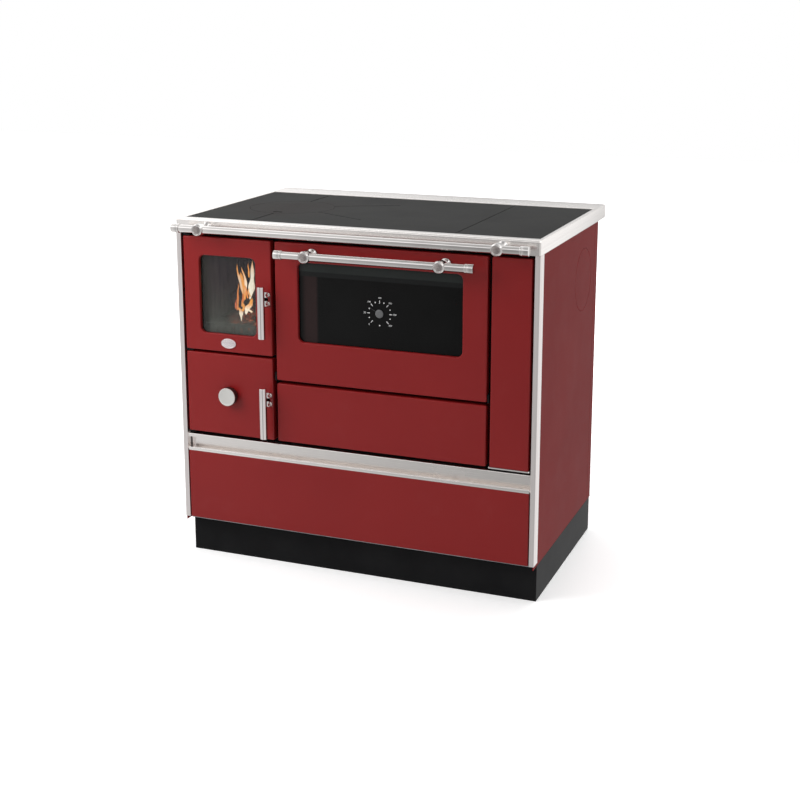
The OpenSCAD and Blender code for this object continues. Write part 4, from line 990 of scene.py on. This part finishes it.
def supportAt(shell, s, x, y, z):
    # turned foot, slim neck and a barrel that the tube passes through, dished at its end
    reach = s["out"] + s["past"]
    profile = rounded([(0.001, 0), (s["foot"], 0), (s["foot"], 0.0050),
                       (s["foot"] - 0.0030, 0.0068), (s["neck"], 0.0090),
                       (s["neck"], reach - 0.031), (s["head"] - 0.001, reach - s["headLong"]),
                       (s["head"], reach - s["headLong"] + 0.003),
                       (s["head"], reach - 0.003), (s["head"] - 0.0028, reach),
                       (s["face"], reach), (s["face"] - 0.0008, reach - s["dish"]),
                       (0.001, reach - s["dish"])], 0.0016)
    profile[:, 1] *= -1
    turned(shell, profile, (x, y, z), "y")


def faceAt(shell, s, x, y, z):
    # the screwed plug at the bottom of the dish: a low dome, radius against height
    r = s["face"] - 0.0014
    u = np.linspace(0, 1, 8)
    dome = np.column_stack([r * np.sin((1 - u) * math.pi / 2 + 0.001),
                            0.0012 * np.cos((1 - u) * math.pi / 2)])
    profile = np.vstack([[(r, -0.001)], dome])
    profile[:, 1] = -(profile[:, 1] + s["out"] + s["past"] - s["dish"])
    turned(shell, profile, (x, y, z), "y", 40)


def supportsAt(shell, faces, centre, half, z):
    # a support and its plug on either side of the centre
    for side in (-1, 1):
        supportAt(shell, support, centre + side * half, front, z)
        faceAt(faces, support, centre + side * half, front, z)


def tubeWithCaps(shell, s, x0, x1, z):
    # a straight tube with a grooved cap over each end
    y, tube = front - support["out"], bar["radius"]
    turned(shell, [(tube, x0 + 0.01), (tube, x1 - 0.01)], (0, y, z), "x", 48)
    r, g, k = s["radius"], s["groove"], s["ring"]
    profile = rounded([(tube - 0.001, 0), (r, 0), (r, k), (r - g, k + 0.0005),
                       (r - g, k + 0.0016), (r - 0.0003, k + 0.0022), (r - 0.0003, s["long"]),
                       (0.001, s["long"])], 0.0012)
    for start, sign in ((x1 - s["long"], 1), (x0 + s["long"], -1)):
        side = profile * (1, sign)
        turned(shell, side, (start, y, z), "x", 48)


def makeRail():
    # the tube stands off the fronts by the reach of its supports, at the node's height
    low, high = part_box("rail_caps")
    z = centreOf("rail_tube")[2]
    tube = Shell()
    tubeWithCaps(tube, cap, low.x, high.x, z)
    made = addPiece("rail.tube", tube.mesh("railTube"), "carcass", "polished_steel")
    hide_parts("rail_tube", "rail_caps")
    low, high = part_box("rail_supports")
    shell, faces = Shell(), Shell()
    supportsAt(shell, faces, 0, (high.x - low.x) / 2 - bar["headHalf"], z)
    addPiece("rail.plugs", faces.mesh("railPlugs"), "carcass", "polished_steel", plugFinish)
    addPiece("rail.supports", shell.mesh("railSupports"), "carcass", "polished_steel",
             node="rail_supports")


def makeHandle():
    # the same tube, caps and supports on the oven door, as one piece with separate plugs
    low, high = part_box("oven_handle")
    x, _, z = centreOf("oven_handle")
    shell, faces = Shell(), Shell()
    tubeWithCaps(shell, cap, low.x, high.x, z)
    supportsAt(shell, faces, x, bar["handleHalf"], z)
    addPiece("oven_handle.plugs", faces.mesh("handlePlugs"), "oven_door", "polished_steel",
             plugFinish)
    addPiece("oven_handle.turned", shell.mesh("ovenHandle"), "oven_door", "polished_steel",
             node="oven_handle")


makeRail()
makeHandle()
print("rail and handle ready")


# air knob, badge, dial and screws

knob = {"radius": 0.022, "out": 0.019}


def makeKnob(s):
    # a flat disc with a raised rim and a narrower foot
    x, _, z = centreOf("air_knob")
    r, d = s["radius"], s["out"]
    face = [(0.001, d - 0.0006), (r - 0.0034, d - 0.0006), (r - 0.0028, d), (r, d),
            (r, 0.0035), (r - 0.0016, 0.0022), (r - 0.0016, 0.0006), (0.001, 0.0006)]
    profile = rounded(face, 0.0010)
    profile[:, 1] *= -1
    shell = turned(Shell(), profile, (x, front, z), "y", 96)
    addPiece("air_knob.turned", shell.mesh("airKnob"), "air_control", "polished_steel",
             knobFace())
    disc = cadCopy("air_knob", "airValve", behind=front - 0.0004)
    addPiece("air_valve.disc", disc, "air_control", "polished_steel", node="air_knob",
             soften=(0.0004, 2))


def knobFace():
    # fine turning rings round the knob's own centre, and painted shade on the knob's side
    f = Finish("turnedFace", Metallic=1.0)
    x, y, z = f.axes()
    cx, _, cz = centreOf("air_knob")
    spread = f.node("CombineXYZ", None, {0: f.radius(x - cx, z - cz) * 2600.0})
    rings = f.noise(1.0, 2.0, 0.6, at=spread)
    # painted shade: the knob's side darker than its face
    side = f.step(y, front - knob["out"] + 0.0012, front - knob["out"] + 0.0022)
    face = f.mix(rings, rgb(240, 239, 235), rgb(254, 252, 248))
    f.colour(f.mix(side, face, rgb(104, 99, 98)))
    f.rough(0.48 + 0.12 * (rings - 0.5))
    f.relief(rings, 0.00002, 0.3)
    return f.material


def makeBadge():
    # oval with a raised rim and a gently domed field
    low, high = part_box("door_badge")
    x, _, z = centreOf("door_badge")
    a, b, d = (high.x - low.x) / 2, (high.z - low.z) / 2, high.y - low.y
    profile = rounded([(1.0, 0), (1.0, 0.8), (0.93, 1.0), (0.85, 0.98), (0.80, 0.72),
                       (0.5, 0.80), (0.02, 0.84)], 0.05)
    t = roundAngles(96)
    inset = (1 - profile[:, 0]) * b    # the rim keeps one width all round
    rx, rz = np.maximum(a - inset, 0.0002), np.maximum(b - inset, 0.0001)
    p = np.zeros((len(profile), 96, 3))
    p[..., 0] = x + rx[:, None] * np.cos(t)
    p[..., 2] = z + rz[:, None] * np.sin(t)
    p[..., 1] = high.y - profile[:, 1, None] * d
    shell = Shell().grid(p, closeCols=True, caps=True)
    addPiece("door_badge.oval", shell.mesh("doorBadge"), "fire_door", "polished_steel",
             badgeFinish, "door_badge")


dial = {"firstAngle": -135, "stepAngle": 45, "count": 7, "tickIn": 0.0240, "tickOut": 0.0306,
        "tickWide": 0.0016, "dot": 0.0014, "dotAt": 0.0276, "figureAt": 0.0368,
        "figureHigh": 0.0056, "thick": 0.0002}


def makeDial(s):
    # slabs of print on the glass: a tick at each figure, a dot between them and one below
    x, _, z = centreOf("thermometer_body")
    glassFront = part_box("oven_door_glass")[0].y
    y0, y1 = glassFront - s["thick"], glassFront + 0.00005
    shell = Shell()

    def slab(corners):
        faces = [np.column_stack([corners[:, 0], np.full(len(corners), y), corners[:, 1]])
                 for y in (y0, y1)]
        shell.grid(np.array(faces), closeCols=True, caps=True)

    def dot(radius, away):
        t = roundAngles(16)
        slab(np.column_stack([np.cos(t), np.sin(t)]) * radius + away + (x, z))

    for i in range(s["count"] * 2 - 1):
        angle = math.radians(s["firstAngle"] + i * s["stepAngle"] / 2)
        out = np.array([math.sin(angle), math.cos(angle)])
        across = np.array([out[1], -out[0]]) * s["tickWide"] / 2
        if i % 2 == 0:
            a, b = out * s["tickIn"], out * s["tickOut"]
            slab(np.array([a - across, a + across, b + across, b - across]) + (x, z))
        else:
            dot(s["dot"], out * s["dotAt"])
    dot(s["dot"] * 1.2, (0, -s["dotAt"]))
    addPiece("oven_dial.ticks", shell.mesh("dialTicks"), "oven_door", "dark_glass", dialInk)
    for i in range(s["count"]):
        angle = math.radians(s["firstAngle"] + i * s["stepAngle"])
        text = bpy.data.curves.new("figure", "FONT")
        text.body, text.size, text.extrude = str(i * 50), s["figureHigh"], s["thick"] / 2
        text.align_x, text.align_y = "CENTER", "CENTER"
        holder = bpy.data.objects.new("figure", text)
        scene.collection.objects.link(holder)
        bpy.context.view_layer.update()
        data = bpy.data.meshes.new_from_object(holder)
        bpy.data.objects.remove(holder)
        co = np.zeros(len(data.vertices) * 3)
        data.vertices.foreach_get("co", co)
        co = co.reshape(-1, 3)
        at = np.array([x + math.sin(angle) * s["figureAt"], z + math.cos(angle) * s["figureAt"]])
        place = np.column_stack([co[:, 0] + at[0], glassFront - s["thick"] / 2 - co[:, 2],
                                 co[:, 1] + at[1]])
        data.vertices.foreach_set("co", place.ravel())
        addPiece("oven_dial.figure%d" % (i * 50), data, "oven_door", "dark_glass", dialInk)


pointer = {"angle": -62, "from": 0.002, "to": 0.0245, "stations": 12}


def makeHub(s):
    # a turned hub on its spindle, and a needle with a ridge that narrows to its tip
    x, _, z = centreOf("thermometer_body")
    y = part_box("oven_door_glass")[0].y - 0.0008
    profile = rounded([(0.0005, 0.0030), (0.0076, 0.0030), (0.0098, 0.0022), (0.0098, 0.0),
                       (0.0005, 0.0)], 0.0008)
    profile[:, 1] *= -1
    shell = turned(Shell(), profile, (x, y, z), "y", 64)
    turned(shell, [(0.002, -0.001), (0.002, 0.009)], (x, y, z), "y", 24)
    addPiece("thermometer_pointer.turned", shell.mesh("dialHub"), "thermometer",
             "polished_steel", hubFinish, "thermometer_pointer")
    angle = math.radians(s["angle"])
    out = np.array([math.sin(angle), math.cos(angle)])
    across = np.array([out[1], -out[0]])
    u = np.linspace(s["from"], s["to"], s["stations"])
    half = np.interp(u, [s["from"], s["to"] - 0.0005, s["to"]], [0.0014, 0.0006, 0.0003])
    edge = [np.column_stack([x + out[0] * u + k * half * across[0],
                             np.full(len(u), y - h), z + out[1] * u + k * half * across[1]])
            for k, h in ((-1, 0.0006), (0, 0.0012), (1, 0.0006), (0, 0.0002))]
    needle = Shell().grid(np.array(edge).transpose(1, 0, 2), closeCols=True, caps=True)
    addPiece("thermometer_pointer.needle", needle.mesh("dialNeedle"), "thermometer",
             "polished_steel", finishOf["black_steel"])


screw = {"radius": 0.0055, "high": 0.0032, "socket": 0.0027, "deep": 0.0022,
         "apart": 0.0108, "plate": 0.003, "fromEdge": 0.0075}


def hexagon(t):
    # radius of a hexagon of unit inscribed circle, against the angle
    return 1 / np.cos((t % (math.pi / 3)) - math.pi / 6)


def capScrew(shell, s, x, y, z, around=48):
    # cap head with a round edge and a hexagon socket, as rings of (radius, height, share of
    # the hexagon)
    t = roundAngles(around)
    r, h, k, d = s["radius"], s["high"], s["socket"], s["deep"]
    rows = [(r, 0, 0), (r, h - 0.0010, 0), (r - 0.0003, h - 0.0003, 0), (r - 0.0011, h, 0),
            (k + 0.0005, h, 0.6), (k, h - 0.0003, 1), (k, h - d, 1), (k * 0.2, h - d, 1)]
    p = np.zeros((len(rows), around, 3))
    for i, (radius, out, hexed) in enumerate(rows):
        ring = radius * (1 - hexed + hexed * hexagon(t))
        p[i] = np.column_stack([x + ring * np.cos(t), np.full(around, y - out),
                                z + ring * np.sin(t)])
    shell.grid(p, closeCols=True, caps=True)


def screwFinish():
    # a bright head, with painted shade in the socket and on the flank, which lie deeper
    f = Finish("screwSteel", Metallic=1.0)
    y = f.axes()[1]
    top = front - screw["plate"] - screw["high"]
    # painted shade where the screw lies deeper
    deep = f.step(y, top + 0.0004, top + 0.0012)
    tone = f.noise(900.0, 2.0)
    f.colour(f.mix(deep, f.mix(tone, rgb(236, 226, 224), rgb(250, 244, 242)), rgb(52, 48, 50)))
    f.rough(0.24 + 0.08 * (tone - 0.5))
    f.relief(tone, 0.00001, 0.2)
    return f.material


def makeLatchScrews(name, body, mountNode):
    # one cap screw above and one below the lever's arm, on the front of the mount's plate
    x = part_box(mountNode)[1].x - screw["fromEdge"]
    z = centreOf(mountNode)[2]
    shell = Shell()
    for side in (-1, 1):
        capScrew(shell, screw, x, front - screw["plate"], z + side * screw["apart"])
    addPiece(name, shell.mesh(name), body, "polished_steel", latchScrew)


dialInk = dialPrint()
hubFinish = hubMetal()
badgeFinish = brushedMetal("badgeMetal", brushed["badge"])
latchScrew = screwFinish()
makeKnob(knob)
makeBadge()
makeDial(dial)
makeHub(pointer)
makeLatchScrews("fire_latch.screws", "fire_door", "fire_latch_mount")
makeLatchScrews("ash_latch.screws", "ash_door", "ash_latch_mount")
print("small fittings ready")


# rope seals

seal = {"radius": 0.0024, "around": 12, "pitch": 0.0045, "bulge": 0.10}


def makeSeal(node, s):
    # rope along a rounded rectangle; two crossed helices of strands raise its surface
    low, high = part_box(node)
    r = s["radius"]
    y = (low.y + high.y) / 2
    loop = roundedLoop(low.x + r, high.x - r, low.z + r, high.z - r, 0.016, 12)
    closed = np.vstack([loop, loop[:1]])
    length = np.concatenate([[0], np.cumsum(np.linalg.norm(np.diff(closed, axis=0), axis=1))])
    count = int(length[-1] / s["pitch"] * 4)
    along = np.linspace(0, length[-1], count, endpoint=False)
    path = np.column_stack([np.interp(along, length, closed[:, i]) for i in (0, 1)])
    ahead = np.roll(path, -1, axis=0) - np.roll(path, 1, axis=0)
    ahead /= np.linalg.norm(ahead, axis=1)[:, None]
    side = np.column_stack([ahead[:, 1], -ahead[:, 0]])
    t = roundAngles(s["around"])
    turns = round(length[-1] / s["pitch"]) * 2 * math.pi / length[-1] * along[:, None]
    weave = np.maximum(np.sin(3 * t + turns), np.sin(3 * t - turns))
    ring = r * (1 - s["bulge"] + s["bulge"] * weave)
    p = np.zeros((count, s["around"], 3))
    p[..., 0] = path[:, None, 0] + side[:, None, 0] * ring * np.cos(t)
    p[..., 2] = path[:, None, 1] + side[:, None, 1] * ring * np.cos(t)
    p[..., 1] = y + ring * np.sin(t)
    shell = Shell().grid(p, closeRows=True, closeCols=True)
    addPiece(node + ".rope", shell.mesh(node), bodyOf[node], "rope", finishOf["rope"], node,
             angle=80)


for name in ("fire_door_gasket", "ash_door_gasket", "oven_door_gasket"):
    makeSeal(name, seal)
print("seals ready")


# the fire: split logs, an ember bed and flames

logs = [
    {"name": "log.rear", "from": (-0.392, -0.02, 0.584), "to": (-0.246, 0.03, 0.592), "r": 0.026},
    {"name": "log.left", "from": (-0.372, -0.20, 0.583), "to": (-0.345, 0.06, 0.600), "r": 0.024},
    {"name": "log.right", "from": (-0.262, -0.19, 0.584), "to": (-0.292, 0.08, 0.598), "r": 0.025},
    {"name": "log.top", "from": (-0.388, -0.12, 0.632), "to": (-0.254, -0.06, 0.640), "r": 0.022},
]


def makeLog(s, seed):
    # a cylinder along its axis, split flat on one side, with a bark of summed sines
    draw = np.random.default_rng(seed)
    a, b = np.array(s["from"]), np.array(s["to"])
    length = np.linalg.norm(b - a)
    ahead = (b - a) / length
    side = np.cross(ahead, (0, 0, 1.0))
    side /= np.linalg.norm(side)
    up = np.cross(side, ahead)
    u, t = np.linspace(0, 1, 48), roundAngles(56)
    uu, tt = np.meshgrid(u, t, indexing="ij")
    bark = sum(draw.uniform(0.3, 1) / k * np.sin(k * 5 * tt + draw.uniform(0, 6) + 3 * uu * k)
               * np.cos(uu * 9 * k + draw.uniform(0, 6)) for k in (1, 2, 3, 4))
    ring = s["r"] * (1 + 0.06 * bark)
    flat = draw.uniform(0, 6)
    ring *= 1 - 0.35 * np.clip(np.cos(tt - flat), 0, 1) ** 2
    ring *= np.interp(uu, [0, 0.012, 0.988, 1], [0.9, 1, 1, 0.9])
    centre = a + uu[..., None] * (b - a) + up * (0.003 * np.sin(uu * 4))[..., None]
    p = centre + ring[..., None] * (np.cos(tt)[..., None] * side + np.sin(tt)[..., None] * up)
    rows = [centre[:1, :] + (p[:1] - centre[:1]) * k for k in (0.05, 0.5)]
    ends = [centre[-1:, :] + (p[-1:] - centre[-1:]) * k for k in (0.5, 0.05)]
    p = np.concatenate(rows + [p] + ends)
    shell = Shell().grid(p, closeCols=True, caps=True)
    addPiece(s["name"], shell.mesh(s["name"]), "carcass", "fireclay", charred, angle=60)


def makeEmbers():
    # heap of embers: a height field over the grate, a product of sines with summed waves on it
    low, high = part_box("grate")
    x0, x1, y0, y1 = low.x + 0.02, high.x - 0.02, low.y + 0.05, high.y - 0.07
    base = high.z + 0.0004
    u, v = np.meshgrid(np.linspace(0, 1, 90), np.linspace(0, 1, 150), indexing="ij")
    heap = np.sin(math.pi * u) ** 0.7 * np.sin(math.pi * v) ** 0.7
    lumps = sum(np.sin((3 + 5 * k) * u * 7 + k * 1.7 + 4 * v) * np.cos((4 + 4 * k) * v * 9 + k)
                / (1 + k) for k in range(5))
    h = heap * (0.016 + 0.004 * lumps) + 0.0006
    rim = np.minimum(np.minimum(u, 1 - u), np.minimum(v, 1 - v)) < 1e-6
    h = np.where(rim, 0.0, h)
    top = np.stack([x0 + u * (x1 - x0), y0 + v * (y1 - y0), base + h], -1)
    bottom = np.stack([x0 + u * (x1 - x0), y0 + v * (y1 - y0), np.full_like(u, base)], -1)
    shell = Shell().grid(top).grid(bottom)
    addPiece("fire.embers", shell.mesh("embers"), "carcass", "fireclay", emberFinish, angle=80)


# each tongue: stations from root to tip, as mm left of and below the window's upper right
# corner when seen from the front right, half width in mm, and heat from 0 (red) to 1 (white)
flames = {"behind": 0.10, "lean": (-0.542, -0.236), "rows": 36, "around": 14, "tongues": [
    [(13, 98, 2, 0.8), (10, 86, 5, 0.95), (8, 74, 7.5, 1), (7, 62, 8, 1), (6, 48, 6, 1),
     (5, 32, 4.5, 0.85), (4, 16, 3, 0.7), (3, 2, 0.5, 0.6)],
    [(14, 44, 2, 0.5), (15, 26, 2, 0.4), (16, 8, 0, 0.3)],
    [(31, 86, 2, 0.6), (35, 72, 3, 0.7), (38, 58, 3, 0.75), (42, 44, 3, 0.7), (45, 30, 2, 0.5),
     (47, 12, 0, 0.4)],
    [(27, 100, 2, 0.4), (26, 84, 2, 0.6), (23, 71, 3, 0.8), (23, 58, 3, 0.8), (26, 45, 3, 0.7),
     (30, 32, 2, 0.6), (34, 19, 0, 0.5)],
    [(30, 102, 2, 0.2), (30, 86, 3, 0.4), (31, 72, 7, 0.5), (32, 60, 8, 0.5), (34, 46, 6, 0.5),
     (37, 32, 0, 0.45)],
    [(48, 128, 2, 0.2), (47, 112, 2.5, 0.3), (46, 96, 2, 0.25), (45, 80, 2, 0.3),
     (44, 60, 0, 0.3)],
    [(53, 124, 2, 0.05), (52, 112, 2, 0.05), (51, 100, 0, 0.0)],
    [(36, 118, 2, 0.3), (33, 104, 3, 0.2), (31, 92, 2, 0.2), (30, 80, 0, 0.3)],
    [(19, 96, 2, 0.3), (22, 84, 3, 0.3), (24, 72, 2, 0.3), (25, 62, 0, 0.3)],
    [(12, 92, 2, 0.6), (17, 80, 3, 0.6), (14, 68, 0, 0.6)],
    [(25, 138, 0, 0.9), (23, 129, 6, 0.85), (19, 119, 8, 0.75), (13, 112, 7, 0.6),
     (9, 104, 5, 0.5), (6, 94, 0, 0.4)],
    [(30, 122, 2, 0.85), (21, 124, 6, 0.9), (13, 127, 5, 0.8), (8, 133, 0, 0.7)],
    [(38, 156, 0, 0.8), (38, 144, 3, 0.85), (38, 134, 5, 0.85), (41, 126, 5, 0.6),
     (45, 120, 0, 0.4)],
    [(34, 130, 3, 0.5), (30, 120, 4, 0.5), (33, 110, 3, 0.35), (37, 104, 0, 0.3)],
]}


def makeFlames(s):
    # each tongue is a flattened tube along its smoothed line, half width by 0.6 of it deep
    middle, _, centre = centreOf("fire_door_skin")
    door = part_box("fire_door_skin")[0].y
    right, top = middle + fireWindow["halfWide"], centre + fireWindow["halfHigh"]
    draw = np.random.default_rng(21)
    shell, core, upward, heat = Shell(), [], [], []
    t = roundAngles(s["around"])
    heatScale = 10    # heat counts as a length while the corners are rounded
    for tongue in s["tongues"]:
        line = rounded(np.array(tongue, float) * (1, 1, 1, heatScale), 40, 6)
        length = np.concatenate([[0], np.cumsum(np.linalg.norm(np.diff(line, axis=0), axis=1))])
        v = np.linspace(0, length[-1], s["rows"])
        left, below, half, hot = (np.interp(v, length, line[:, i]) for i in range(4))
        up = v / length[-1]
        depth = s["behind"] + draw.uniform(-0.012, 0.012)
        half = (half + 0.15) * (1 + 0.18 * np.sin(up * 14 + draw.uniform(0, 6)))
        sway = 0.9 * np.sin(up * 11 + draw.uniform(0, 6)) * up
        x = right - (left + sway) / 1000 + s["lean"][0] * depth
        z = top - below / 1000 + s["lean"][1] * depth
        p = np.zeros((s["rows"], s["around"], 3))
        p[..., 0] = x[:, None] + half[:, None] / 1000 * np.cos(t)
        p[..., 1] = door + depth + 0.6 * half[:, None] / 1000 * np.sin(t)
        p[..., 2] = z[:, None]
        shell.grid(p, closeCols=True, caps=True)
        core.append(np.tile(1 - np.cos(t) ** 2, s["rows"]))
        upward.append(np.repeat(up, s["around"]))
        heat.append(np.repeat(hot / heatScale, s["around"]))
    data = shell.mesh("flames", outward=False)
    for name, values in (("core", core), ("up", upward), ("hot", heat)):
        layer = data.attributes.new(name, "FLOAT", "POINT")
        layer.data.foreach_set("value", np.concatenate(values).astype(np.float32))
    addPiece("fire.flames", data, "carcass", "fireclay", flameFinish, angle=180)


charred = charredWood()
emberFinish = emberBed()
flameFinish = flame(burning)
for i, logSettings in enumerate(logs):
    makeLog(logSettings, 40 + i)
makeEmbers()
makeFlames(flames)
print("fire ready")


# CAD nodes that stay as they are get the finish of their slot

asTheyAre = [n for n, o in nodes.items() if not o.hide_render]
for name in asTheyAre:
    nodes[name].data.materials.clear()
    nodes[name].data.materials.append(finishOf[slotOf[name]])
print("CAD nodes shown as they are:", asTheyAre)
